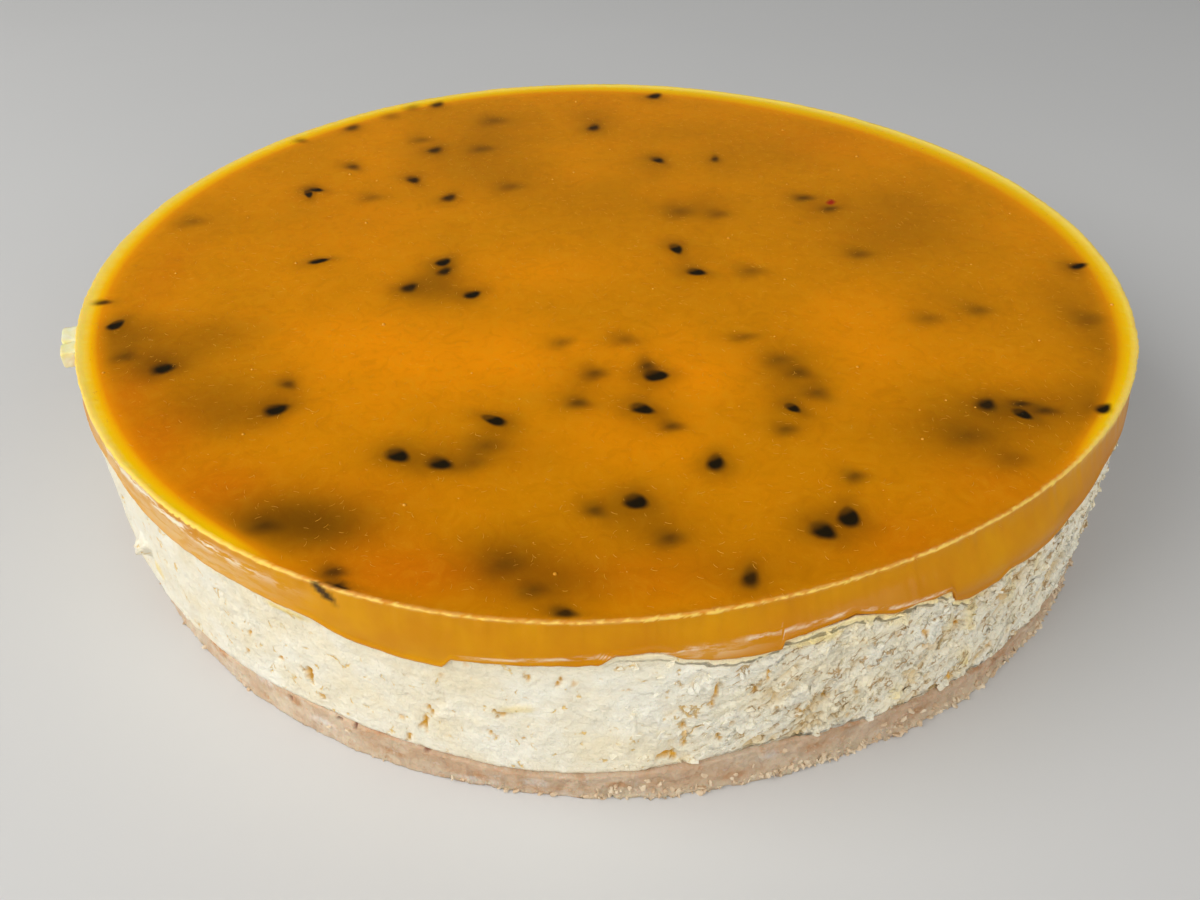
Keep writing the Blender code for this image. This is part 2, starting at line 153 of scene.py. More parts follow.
# Seeds near the top of the jelly, in millimetres from the middle: across, along, turn,
# half length, half width, and how near the top they are (1 is at it)
NEAR_SEEDS = (
    (-97.0, -41.5, -20, 2.0, 1.8, 0.38), (-87.7, -45.8, 10, 2.3, 2.0, 0.86),
    (-61.7, -51.3, -45, 1.9, 1.2, 0.52), (-61.8, -59.7, 25, 2.4, 1.9, 0.92),
    (-56.0, -92.0, -10, 2.4, 1.5, 0.42), (-42.5, -102.6, -10, 2.0, 1.3, 0.60),
    (-41.3, -105.8, -18, 2.3, 0.9, 0.93),
    (-2.2, -47.8, 0, 2.0, 1.9, 0.46), (8.3, -45.0, 100, 2.6, 1.4, 0.55),
    (10.0, -48.8, 4, 2.5, 1.9, 1.00), (-20.7, -63.2, 150, 2.7, 1.3, 1.00),
    (-5.2, -57.7, -15, 2.1, 1.6, 0.52), (7.0, -59.8, -28, 2.5, 1.6, 0.96),
    (12.2, -65.0, -10, 1.9, 1.4, 0.52), (-36.8, -73.6, -40, 2.5, 1.8, 0.93),
    (-29.0, -75.9, -25, 2.5, 1.7, 0.86), (-21.5, -70.8, 0, 2.5, 2.0, 0.26),
    (-23.5, -75.6, 0, 2.0, 1.5, 0.22), (19.4, -75.6, 82, 2.4, 1.6, 0.88),
    (5.2, -86.2, -30, 2.2, 1.9, 0.97), (-1.8, -88.2, -40, 1.8, 1.4, 0.48),
    (10.3, -95.0, 0, 2.0, 1.7, 0.46), (-16.0, -101.0, 0, 2.5, 2.0, 0.28),
    (-11.0, -106.5, 0, 1.8, 1.3, 0.32), (-6.2, -111.2, -15, 2.0, 1.1, 0.74),
    (22.4, -103.8, 80, 2.3, 1.3, 0.76), (38.0, -47.5, -30, 2.2, 1.7, 0.38),
    (34.5, -43.0, 0, 2.2, 1.8, 0.28), (40.5, -54.5, -50, 2.2, 1.9, 0.38),
    (35.2, -59.6, -50, 1.8, 1.1, 0.97), (33.0, -66.0, 0, 1.8, 1.5, 0.40),
    (71.8, -58.3, 60, 2.1, 1.7, 0.80), (78.3, -58.2, 0, 1.6, 0.9, 0.62),
    (77.6, -61.6, -50, 2.0, 1.3, 1.00), (82.0, -60.3, -10, 2.2, 1.2, 0.52),
    (93.3, -59.7, 40, 2.1, 1.2, 0.92), (65.5, -68.0, 0, 3.0, 2.2, 0.22),
    (43.0, -79.5, 0, 1.7, 1.5, 0.46), (40.1, -90.0, 82, 2.6, 1.8, 0.98),
    (35.4, -93.3, -45, 2.4, 1.9, 0.90), (71.5, -74.5, 0, 2.5, 2.0, 0.18),
    (-76.6, 34.6, -70, 2.6, 1.0, 0.95), (-75.2, 37.2, -20, 2.0, 1.2, 0.90),
    (-60.0, 32.5, 0, 2.2, 1.8, 0.26), (-40.0, 32.5, 75, 2.4, 1.7, 0.74),
    (-66.2, -1.7, 20, 2.4, 1.2, 0.95), (-37.3, -2.2, 60, 2.1, 1.6, 0.96),
    (-36.5, -6.4, 70, 2.0, 1.3, 0.78), (-43.5, -13.8, 60, 2.1, 1.7, 0.78),
    (-109.5, -20.1, 0, 1.9, 1.2, 0.72), (-103.0, -29.5, 70, 2.2, 1.5, 1.00),
    (-102.0, 19.0, 0, 2.4, 2.0, 0.22), (-29.2, -17.0, 40, 2.0, 1.6, 0.93),
    (16.7, 4.0, -75, 2.6, 1.5, 0.94), (20.7, -7.3, -20, 2.3, 1.6, 0.94),
    (33.0, -6.5, 0, 2.4, 2.0, 0.30), (18.5, 24.0, 0, 2.8, 2.6, 0.26), (28.0, 22.5, 0, 2.0, 1.8, 0.28),
    (-9.0, -36.5, 30, 1.8, 1.4, 0.32), (4.0, -35.5, -20, 2.4, 1.7, 0.30),
    (28.5, -34.5, 10, 2.2, 1.2, 0.32), (-25.0, 39.0, 0, 2.4, 2.0, 0.28),
    (50.7, 31.7, 0, 2.3, 1.7, 0.52), (56.3, 25.3, 20, 2.0, 1.4, 0.48), (59.3, 1.5, 0, 2.0, 1.6, 0.32),
    (108.0, -4.6, 25, 2.4, 1.3, 0.86), (79.8, -24.0, 0, 2.0, 1.5, 0.30),
    (68.2, -27.3, 0, 2.2, 1.8, 0.24), (102.0, -27.5, 0, 2.4, 2.0, 0.22),
    (-51.2, 98.4, 75, 2.7, 1.8, 0.74), (-58.6, 95.8, 70, 2.4, 1.8, 0.38),
    (-64.2, 89.5, 60, 2.2, 1.8, 0.24), (-73.8, 80.0, 80, 2.6, 1.8, 0.64),
    (-86.8, 70.2, -30, 2.0, 1.5, 0.44), (-47.5, 63.2, 70, 2.4, 1.8, 0.70),
    (-52.5, 70.5, 0, 2.2, 1.8, 0.26), (-34.5, 63.8, 0, 2.4, 2.0, 0.34), (-33.0, 85.0, 0, 2.8, 2.4, 0.28),
    (-68.5, 52.0, -50, 2.5, 1.5, 0.58), (-50.8, 43.3, -60, 2.6, 1.6, 0.78),
    (-3.2, 79.5, 80, 2.8, 1.6, 0.76), (15.5, 105.2, 60, 2.8, 2.0, 0.82),
    (14.5, 55.8, -60, 2.4, 1.5, 0.80), (30.2, 56.7, 85, 2.1, 1.0, 0.68),
)
SEED_HALF_THICKNESS = 1.1 * MM
SEED_TAPER = 0.25
PROUD_FROM = 0.94
SOLID_FROM = 0.975
SEED_SHARE = 0.62

# Seeds that show through the wall: azimuth, height, lean, half length, half width, strength
WALL_SEEDS = (
    (-112.3, 40.2, -38, 2.6, 0.9, 0.92),
    (-83.5, 39.4, -10, 2.4, 1.5, 0.30),
    (-73.0, 38.8, 20, 2.0, 1.2, 0.16),
    (-45.0, 38.2, 30, 3.0, 2.0, 0.22),
)

# Olive clouds where seeds lie deep: across, along, half widths, strength
CLOUDS = (
    (-99, -34, 8, 8, 0.55), (-90, -44, 8, 7, 0.60), (-82, -34, 11, 9, 0.38), (-75, -57, 11, 10, 0.45),
    (-70, -63, 6, 6, 0.35), (-62, -57, 5, 8, 0.35), (-52, -90, 13, 7, 0.78), (-46, -93, 8, 5, 0.60),
    (-37, -8, 6, 10, 0.35), (-41, -14, 7, 6, 0.40), (-33, -15, 7, 6, 0.26), (-76, 36, 6, 8, 0.22),
    (-30, 80, 12, 16, 0.20), (-34, 60, 12, 20, 0.24), (-24, 42, 14, 14, 0.20), (-50, 60, 8, 22, 0.16),
    (-3, 88, 8, 14, 0.28), (13, 52, 6, 10, 0.20), (32, 55, 7, 11, 0.14), (24, 28, 9, 9, 0.32),
    (19, -1, 7, 11, 0.20), (54, 27, 8, 8, 0.24), (70, 12, 17, 14, 0.32), (76, 30, 12, 12, 0.24),
    (60, 3, 7, 7, 0.16), (76, -22, 9, 8, 0.22), (101, -26, 7, 15, 0.32), (107, -6, 5, 6, 0.25),
    (36, -48, 7, 12, 0.36), (35, -61, 5, 6, 0.22), (9, -49, 5, 7, 0.22), (8, -61, 6, 7, 0.26),
    (-4, -53, 6, 8, 0.22), (-20, -66, 5, 7, 0.24), (-32, -74, 10, 6, 0.28), (-19, -73, 10, 6, 0.22),
    (4, -88, 8, 7, 0.38), (10, -93, 9, 6, 0.30), (-15, -99, 9, 7, 0.50), (-8, -105, 9, 6, 0.52),
    (22, -102, 13, 6, 0.32), (37, -91, 8, 6, 0.26), (66, -67, 15, 10, 0.42), (79, -60, 14, 7, 0.50),
    (95, -57, 8, 8, 0.42), (103, -42, 6, 9, 0.28), (20, -76, 4, 4, 0.20), (-62, 20, 16, 18, 0.14),
    (50, 60, 14, 10, 0.14), (0, 30, 16, 14, 0.14), (20, 75, 16, 12, 0.10), (-95, 20, 10, 12, 0.10),
)

# Patches where the jelly is a brighter orange
BRIGHT_PATCHES = (
    (-25, -42, 22, 12, 0.85), (-8, -6, 15, 13, 0.55), (20, -48, 10, 13, 0.75), (-46, -32, 18, 9, 0.60),
    (-55, -38, 12, 12, 0.40), (30, 92, 22, 14, 0.40), (76, 60, 15, 22, 0.35), (55, -24, 20, 13, 0.40),
    (-60, 12, 18, 18, 0.45), (-64, 44, 14, 12, 0.30), (62, -40, 16, 10, 0.30),
    (-20, 100, 20, 8, 0.35), (-68, 72, 10, 14, 0.30), (0, -68, 16, 8, 0.35),
)

# Patches where it is a deeper orange
DEEP_PATCHES = (
    (-92, -55, 6, 11, 0.45), (-82, -70, 8, 12, 0.50), (-66, -83, 10, 8, 0.50), (-30, -103, 17, 6, 0.60),
    (-38, -95, 10, 6, 0.30), (5, -104, 16, 6, 0.35), (48, -96, 14, 8, 0.35), (68, -82, 12, 10, 0.25),
    (-40, -84, 14, 6, 0.20), (60, 70, 20, 14, 0.15), (-100, -8, 6, 16, 0.25),
)

# A fleck of red fruit skin: across, along, turn, half length, half width
RED_FLECK = (57.3, 29.2, 70, 1.5, 0.9)

# Filling: how finely it is drawn, between which azimuths it turns rough, and its tears
CREAM_COLUMNS = 1440
CREAM_ROWS = 54
ROUGH_FROM = -100.0
ROUGH_TO = -66.0
LEAN_OF_TEARS = -0.8
TALLNESS_OF_TEARS = 0.5

# Torn holes seen in the filling: azimuth, height, lean, half width, half height, depth
HOLES = (
    (-116.2, 16.7, 6, 0.8, 1.9, 1.5), (-116.7, 17.4, -30, 0.5, 1.0, 1.2), (-115.4, 12.2, -20, 0.5, 0.9, 0.8),
    (-105.2, 14.0, 4, 0.35, 2.2, 1.1), (-105.6, 13.0, 30, 0.3, 1.0, 0.8), (-104.6, 17.2, -20, 0.3, 1.3, 0.8),
    (-98.4, 19.6, 62, 0.45, 1.0, 1.2), (-98.9, 20.4, -30, 0.3, 0.9, 0.8), (-99.4, 14.3, -35, 0.35, 1.0, 0.8),
    (-96.8, 14.2, -35, 0.3, 0.8, 0.6), (-107.0, 8.8, 20, 0.35, 1.2, 0.9), (-96.1, 29.6, -10, 0.3, 1.1, 0.7),
    (-93.6, 29.0, 25, 0.3, 1.6, 0.7), (-124.0, 13.8, 30, 0.4, 1.2, 0.7), (-119.2, 17.9, 30, 0.4, 0.7, 0.6),
    (-122.6, 20.4, 25, 0.35, 1.0, 0.6), (-85.0, 10.0, 70, 0.6, 1.6, 1.3), (-84.4, 9.6, -10, 0.5, 0.9, 1.0),
    (-83.8, 17.6, 4, 0.3, 1.1, 1.0), (-83.6, 15.2, 0, 0.3, 0.8, 1.0), (-83.6, 13.0, -8, 0.35, 0.8, 1.0),
    (-81.3, 25.2, 8, 0.3, 2.4, 1.0), (-81.6, 22.4, -30, 0.3, 0.9, 0.8), (-78.1, 24.6, -4, 0.45, 1.3, 1.2),
    (-77.0, 27.4, 10, 0.3, 1.4, 0.7), (-80.6, 13.6, -14, 0.35, 1.1, 0.8), (-71.5, 18.3, -32, 0.4, 1.2, 0.9),
    (-73.5, 15.5, -20, 0.3, 1.1, 0.8), (-68.5, 17.0, -24, 0.3, 1.1, 0.8), (-62.0, 22.6, -52, 0.55, 1.5, 1.5),
    (-61.2, 21.4, -35, 0.45, 1.3, 1.2), (-62.6, 26.4, -30, 0.4, 1.3, 0.9), (-52.8, 24.4, -30, 0.6, 1.5, 1.0),
    (-58.4, 23.6, -26, 0.5, 1.5, 0.9), (-57.4, 8.8, -30, 0.5, 1.4, 0.9), (-66.0, 12.0, -20, 0.3, 1.1, 0.8),
)

# Smooth swipes of a knife across the filling: azimuth, height, lean, half width, half height,
# lift, and how butter yellow they are
SWIPES = (
    (-67.0, 30.6, 3, 10.0, 1.6, 0.45, 0.15), (-57.2, 24.8, 104, 3.8, 1.2, 0.60, 0.55),
    (-59.8, 26.2, 108, 2.8, 1.0, 0.60, 0.45), (-53.2, 29.2, 112, 2.8, 0.9, 0.65, 0.40),
    (-56.0, 12.0, 112, 3.0, 1.2, 0.55, 0.55), (-97.0, 21.6, 8, 3.0, 0.9, 0.35, 0.55),
    (-73.4, 33.6, 4, 4.6, 1.2, 0.18, 0.75), (-78.6, 24.4, 30, 4.2, 1.4, 0.35, 0.15),
    (-80.0, 21.0, 20, 5.0, 0.9, 0.35, 0.10), (-66.0, 32.8, 160, 2.6, 1.2, 0.18, 0.40),
    (-117.0, 31.8, 0, 4.6, 0.8, 0.35, 0.95), (-51.5, 23.4, 116, 3.2, 1.0, 0.60, 0.35),
    (-48.5, 27.6, 118, 2.6, 0.9, 0.65, 0.40), (-64.2, 13.5, 112, 2.0, 0.9, 0.50, 0.50),
    (-131.5, 16.6, 70, 2.4, 1.0, 0.35, 0.0), (-138.0, 16.0, 80, 2.2, 1.4, 0.2, 0.8),
    (35.0, 22.0, 12, 16.0, 2.0, 0.35, 0.10), (118.0, 18.0, -9, 14.0, 1.8, 0.35, 0.10),
    (168.0, 25.0, 6, 12.0, 2.0, 0.30, 0.20),
)

# The torn flap that sticks out at the left
FLAP_AZIMUTH = -140.0
FLAP_HEIGHT = 20.0 * MM
FLAP_HALF_WIDTH = 2.8 * MM
FLAP_HALF_HEIGHT = 3.4 * MM
FLAP_REACH = 3.4 * MM

# Biscuit base
BASE_COLUMNS = 1440
BASE_ROWS = 20
CRUMB_BED_COLUMNS = 360

# Dark pits in the base, and its toasted and its fatty patches:
# azimuth, height, half width, half height
BASE_PITS = (
    (-112.3, 7.4, 0.35, 0.8), (-105.4, 6.9, 0.45, 0.7), (-119.5, 6.6, 0.3, 0.6), (-113.9, 7.6, 0.5, 0.3),
)
TOASTED_PATCHES = (
    (-109.0, 7.8, 4.0, 0.9), (-108.6, 3.6, 2.6, 1.3), (-101.0, 2.4, 2.4, 0.8), (-89.0, 3.2, 2.6, 1.1),
    (-79.0, 2.6, 2.6, 1.1), (-71.5, 5.0, 3.2, 1.5), (-68.0, 7.4, 3.0, 1.0), (-54.0, 6.2, 3.4, 1.2),
    (-50.0, 4.2, 3.4, 1.4), (-61.0, 4.0, 2.4, 1.4), (-119.0, 6.6, 1.6, 1.6), (-130.0, 5.4, 4.0, 1.4),
)
FATTY_PATCHES = (
    (-101.0, 1.4, 5.0, 0.9), (-96.0, 3.2, 2.6, 1.2), (-93.0, 1.0, 3.0, 0.8), (-116.0, 4.2, 3.0, 1.4),
    (-86.0, 1.4, 3.0, 1.0), (-76.0, 6.0, 2.4, 1.4), (-123.0, 6.8, 2.4, 1.2), (-65.0, 2.0, 3.0, 1.0),
)

# What is scattered over the layers: how many to a square metre, and their sizes
THREADS = {
    "Density": 170000.0, "Smallest": 0.3, "Largest": 1.6, "Thickness": 0.036 * MM, "Lift": 0.0, "Seed": 3,
}
BUBBLES = {
    "Density": 3000.0, "Smallest": 0.25 * MM, "Largest": 0.8 * MM, "Lift": -0.05 * MM, "Seed": 8,
}
CURDS = {
    "Density": 260000.0, "Smallest": 0.9 * MM, "Largest": 2.4 * MM, "Flatness": 0.4, "Tilt": 0.9,
    "Lift": -0.1 * MM, "Seed": 5,
}
CRUMBS = {
    "Density": 1100000.0, "Smallest": 0.4 * MM, "Largest": 1.7 * MM, "Flatness": 0.45, "Tilt": 1.6,
    "Lift": 0.0, "Seed": 6,
}
FOOT_CRUMBS = {**CRUMBS, "Density": 800000.0, "Seed": 7}

# What turns a cell's place into a repeatable random number
CELL_PRIMES = (73856093, 19349663, 83492791)
SEED_PRIME = 2654435761
MIXING_PRIME = 1274126177
LOW_BITS = 0xFFFFFFFF

# The floor and the light: each lamp's place, size, power and colour
FLOOR_HALF_SIZE = 1.6
WINDOW_LEFT = ((-0.8, -0.3, 0.75), (1.0, 0.8), 9.6, (1.0, 0.995, 0.98))
ROOM_FRONT = ((0.45, -0.85, 0.55), (1.2, 0.6), 4.0, (1.0, 1.0, 1.0))
LAMPS_AIM = (0.0, 0.0, 0.02)
ROOM_COLOUR = (0.96, 0.98, 1.0, 1.0)
ROOM_BEHIND = 0.12
ROOM_BEFORE = 0.5


def smooth_step(low, high, value):
    """0 below low, 1 above high, and a smooth rise between."""
    share = np.clip((value - low) / (high - low), 0.0, 1.0)
    return share * share * (3.0 - 2.0 * share)


def between(value, low, full_from, full_to, high):
    """0 up to low, 1 between the middle two, 0 from high on, and smooth in between."""
    return smooth_step(low, full_from, value) * (1.0 - smooth_step(full_to, high, value))


def bell(value, middle, width):
    """1 at the middle, falling off smoothly on both sides."""
    return np.exp(-((value - middle) / width) ** 2)


def turn_between(azimuth, centre):
    """Degrees from centre to azimuth, the short way round."""
    return (azimuth - centre + 180.0) % 360.0 - 180.0


def near_azimuth(azimuth, centre, reach, soft):
    """1 round a direction, 0 from reach degrees away, fading over the last few."""
    return smooth_step(0.0, soft, reach - np.abs(turn_between(azimuth, centre)))


def round_place(azimuth, radius, height):
    """Points at these azimuths, radii and heights, one row each."""
    angle = np.radians(azimuth)
    height = height + np.zeros_like(angle)
    return np.stack([radius * np.cos(angle), radius * np.sin(angle), height], axis=-1)


def hashed(cells, seed):
    """A repeatable random whole number for each cell of a grid."""
    across, along, up = (cells[..., i] * CELL_PRIMES[i] for i in range(3))
    mixed = across ^ along ^ up
    mixed = (mixed ^ (seed * SEED_PRIME)) & LOW_BITS
    mixed = ((mixed ^ (mixed >> 13)) * MIXING_PRIME) & LOW_BITS
    return mixed ^ (mixed >> 16)


def three_shares(number):
    """Three shares, 0 to 1, out of a random whole number."""
    return [((number >> shift) & 1023) / 1023.0 for shift in (0, 10, 20)]


def drift(points, cell, seed):
    """Smooth noise, about -1 to 1, that changes over one cell's length."""
    place = points / cell
    corner = np.floor(place).astype(np.int64)
    part = place - corner
    ease = part * part * part * (part * (part * 6.0 - 15.0) + 10.0)
    total = np.zeros(points.shape[:-1])
    for step in np.ndindex(2, 2, 2):
        number = hashed(corner + np.array(step), seed)
        slopes = [2.0 * share - 1.0 for share in three_shares(number)]
        along = part - np.array(step)
        value = sum(slopes[i] * along[..., i] for i in range(3))
        weight = np.prod(np.where(np.array(step) == 1, ease, 1.0 - ease), axis=-1)
        total += weight * value
    return 1.5 * total


def lumps(points, cell, seed):
    """Distances to the nearest and the second nearest lump, in cells."""
    place = points / cell
    corner = np.floor(place).astype(np.int64)
    nearest = np.full(points.shape[:-1], 9.0)
    second = nearest.copy()
    for step in np.ndindex(3, 3, 3):
        cells = corner + np.array(step) - 1
        number = hashed(cells, seed)
        jitter = np.stack(three_shares(number), axis=-1)
        away = np.linalg.norm(cells + jitter - place, axis=-1)
        second = np.minimum(second, np.maximum(nearest, away))
        nearest = np.minimum(nearest, away)
    return nearest, second


def layered(points, cell, seed, layers):
    """Noise with finer and finer layers, each half as strong."""
    total = np.zeros(points.shape[:-1])
    for layer in range(layers):
        total += drift(points, cell / 2.0 ** layer, seed + layer) / 2.0 ** layer
    return total


def around(azimuth, stops, soften=0.0):
    """Reads a length round the cake from its stops, smoothed over some degrees."""
    turns = np.array([stop[0] for stop in stops], float)
    values = np.array([stop[1] for stop in stops]) * MM
    shifts = (-1.0, -0.5, 0.0, 0.5, 1.0) if soften else (0.0,)
    read = [np.interp(azimuth + shift * soften, turns, values, period=360.0) for shift in shifts]
    return sum(read) / len(read)


def jelly_edge(azimuth):
    """Height at the rim where the jelly meets the filling."""
    uneven = EDGE_UNEVENNESS * layered(round_place(azimuth, TIN_RADIUS, 0.0), 3.0 * MM, 5, 3)
    return around(azimuth, JELLY_EDGES) + uneven


def rim_radius(azimuth):
    """How far the jelly's top edge is from the middle."""
    return around(azimuth, RIM_RADII, 6.0)


def side_radius(azimuth):
    """How far the cake's side is from the middle, just under the jelly's rim."""
    return TIN_RADIUS + BULGE_KEPT_BELOW * np.maximum(rim_radius(azimuth) - TIN_RADIUS, 0.0)


def base_radius(azimuth):
    """How far the base's side is from the middle."""
    return around(azimuth, BASE_RADII, 5.0)


def base_edge(azimuth):
    """Height at the rim where the biscuit meets the filling."""
    place = round_place(azimuth, TIN_RADIUS, 0.0)
    return around(azimuth, BASE_EDGES, 2.0) + EDGE_UNEVENNESS * layered(place, 5.0 * MM, 12, 3)


def crumbly(azimuth):
    """How loose the base is: firm at the left front, crumbly at the right front."""
    place = round_place(azimuth, TIN_RADIUS, 0.0)
    rising = between(azimuth, *CRUMBLY_BASE)
    return np.clip(0.18 + 0.75 * rising + 0.5 * drift(place, 16.0 * MM, 64), 0.05, 1.0)


def camera_turn():
    """The camera's rotation, as a matrix."""
    turn = Matrix.Rotation(CAMERA_YAW, 4, "Z") @ Matrix.Rotation(math.pi / 2 - CAMERA_PITCH, 4, "X")
    return turn @ Matrix.Rotation(CAMERA_ROLL, 4, "Z")


def add_piece(name, mesh):
    made = bpy.data.objects.new(name, mesh)
    bpy.context.scene.collection.objects.link(made)
    return made


def mesh_of(name, points, faces):
    mesh = bpy.data.meshes.new(name)
    mesh.from_pydata(points.tolist(), [], faces)
    mesh.validate()
    mesh.shade_smooth()
    return mesh


def ring_faces(first, second, columns):
    """Quads between two rings of vertices that start at these numbers."""
    return [
        (first + i, first + (i + 1) % columns, second + (i + 1) % columns, second + i)
        for i in range(columns)
    ]


def turned_piece(name, rings):
    """A closed mesh from rings of points, lowest first, each end shut by a fan."""
    columns = len(rings[0])
    points = np.concatenate([*rings, [[0.0, 0.0, rings[0][0][2]], [0.0, 0.0, rings[-1][0][2]]]])
    foot, head = len(points) - 2, len(points) - 1
    faces = [(foot, (i + 1) % columns, i) for i in range(columns)]
    for ring in range(len(rings) - 1):
        faces += ring_faces(ring * columns, (ring + 1) * columns, columns)
    last = (len(rings) - 1) * columns
    faces += [(last + i, last + (i + 1) % columns, head) for i in range(columns)]
    return mesh_of(name, points, faces)


def set_attribute(mesh, name, values):
    """Keeps one number for each vertex under this name."""
    attribute = mesh.attributes.new(name, "FLOAT", "POINT")
    attribute.data.foreach_set("value", np.asarray(values, np.float32).ravel())


def vertex_places(mesh):
    places = np.zeros(len(mesh.vertices) * 3, np.float32)
    mesh.vertices.foreach_get("co", places)
    return places.reshape(-1, 3).astype(float)


def wire(tree, kind, inputs=None, **settings):
    """Adds a node, sets its settings, and sets or links its inputs."""
    made = tree.nodes.new(kind)
    for name, value in settings.items():
        setattr(made, name, value)
    for name, value in (inputs or {}).items():
        if isinstance(value, bpy.types.NodeSocket):
            tree.links.new(value, made.inputs[name])
        else:
            made.inputs[name].default_value = value
    return made


def linear(red, green, blue):
    """A colour as it shows on screen, 0 to 255, turned into the shader's numbers."""
    shares = [value / 255.0 for value in (red, green, blue)]
    return (*[s / 12.92 if s < 0.04045 else ((s + 0.055) / 1.055) ** 2.4 for s in shares], 1.0)


def mixed(tree, share, first, second):
    """A colour between two others."""
    made = wire(tree, "ShaderNodeMix", data_type="RGBA")
    for place, value in ((0, share), (6, first), (7, second)):
        if isinstance(value, bpy.types.NodeSocket):
            tree.links.new(value, made.inputs[place])
        else:
            made.inputs[place].default_value = value
    return made.outputs[2]


def sums(tree, action, first, second=0.0, hold=False):
    """One step of arithmetic."""
    made = wire(tree, "ShaderNodeMath", {0: first, 1: second}, operation=action, use_clamp=hold)
    return made.outputs[0]


def times(tree, first, second, hold=False):
    return sums(tree, "MULTIPLY", first, second, hold)


def plus(tree, first, second, hold=False):
    return sums(tree, "ADD", first, second, hold)


def vectors(tree, action, first, second):
    """One step of arithmetic on vectors."""
    return wire(tree, "ShaderNodeVectorMath", {0: first, 1: second}, operation=action).outputs[0]


def scaled(tree, vector, factor):
    """A vector times a number."""
    inputs = {0: vector, "Scale": factor}
    return wire(tree, "ShaderNodeVectorMath", inputs, operation="SCALE").outputs[0]


def stretched(tree, place, scale):
    """A place with its axes stretched."""
    return wire(tree, "ShaderNodeMapping", {"Vector": place, "Scale": scale}).outputs[0]


def three_of(tree, across, along, up):
    """Three numbers as one vector."""
    return wire(tree, "ShaderNodeCombineXYZ", {"X": across, "Y": along, "Z": up}).outputs[0]


def parts_of(tree, vector):
    """A vector's three numbers."""
    return wire(tree, "ShaderNodeSeparateXYZ", {"Vector": vector}).outputs


def spread(tree, value, low, high, to_low=0.0, to_high=1.0):
    """Maps low to high onto another range, held at its ends."""
    inputs = {"Value": value, "From Min": low, "From Max": high, "To Min": to_low, "To Max": to_high}
    return wire(tree, "ShaderNodeMapRange", inputs).outputs[0]


def noise_of(tree, place, size, detail=3.0, roughness=0.5, distortion=0.0, kind="Fac"):
    """Cloudy noise, 0 to 1, whose patches are about this size. Its Color is three such numbers."""
    inputs = {
        "Vector": place, "Scale": 1.0 / size, "Detail": detail, "Roughness": roughness,
        "Distortion": distortion,
    }
    return wire(tree, "ShaderNodeTexNoise", inputs).outputs[kind]


def cells_of(tree, place, size, **settings):
    """Cells like broken flakes, about this size."""
    return wire(tree, "ShaderNodeTexVoronoi", {"Vector": place, "Scale": 1.0 / size}, **settings).outputs


def named(tree, name):
    """A number kept on the mesh."""
    return wire(tree, "ShaderNodeAttribute", attribute_name=name).outputs["Fac"]


def painted_over(tree, colour, coats):
    """Lays colours over each other, each as far as its share says: a socket or a name on the mesh."""
    for share, coat in coats:
        share = named(tree, share) if isinstance(share, str) else share
        colour = mixed(tree, share, colour, linear(*coat))
    return colour


def new_material(name, **values):
    """A material with one Principled shader and its plain numbers set on the shader."""
    material = bpy.data.materials.new(name)
    material.use_nodes = True
    tree = material.node_tree
    shader = tree.nodes["Principled BSDF"]
    for key, value in values.items():
        shader.inputs[key.replace("_", " ")].default_value = value
    place = wire(tree, "ShaderNodeTexCoord").outputs["Object"]
    return material, tree, shader, place


def bump(tree, shader, height, reach, strength=1.0):
    """Fine relief in the shader."""
    inputs = {"Height": height, "Distance": reach, "Strength": strength}
    tree.links.new(wire(tree, "ShaderNodeBump", inputs).outputs[0], shader.inputs["Normal"])


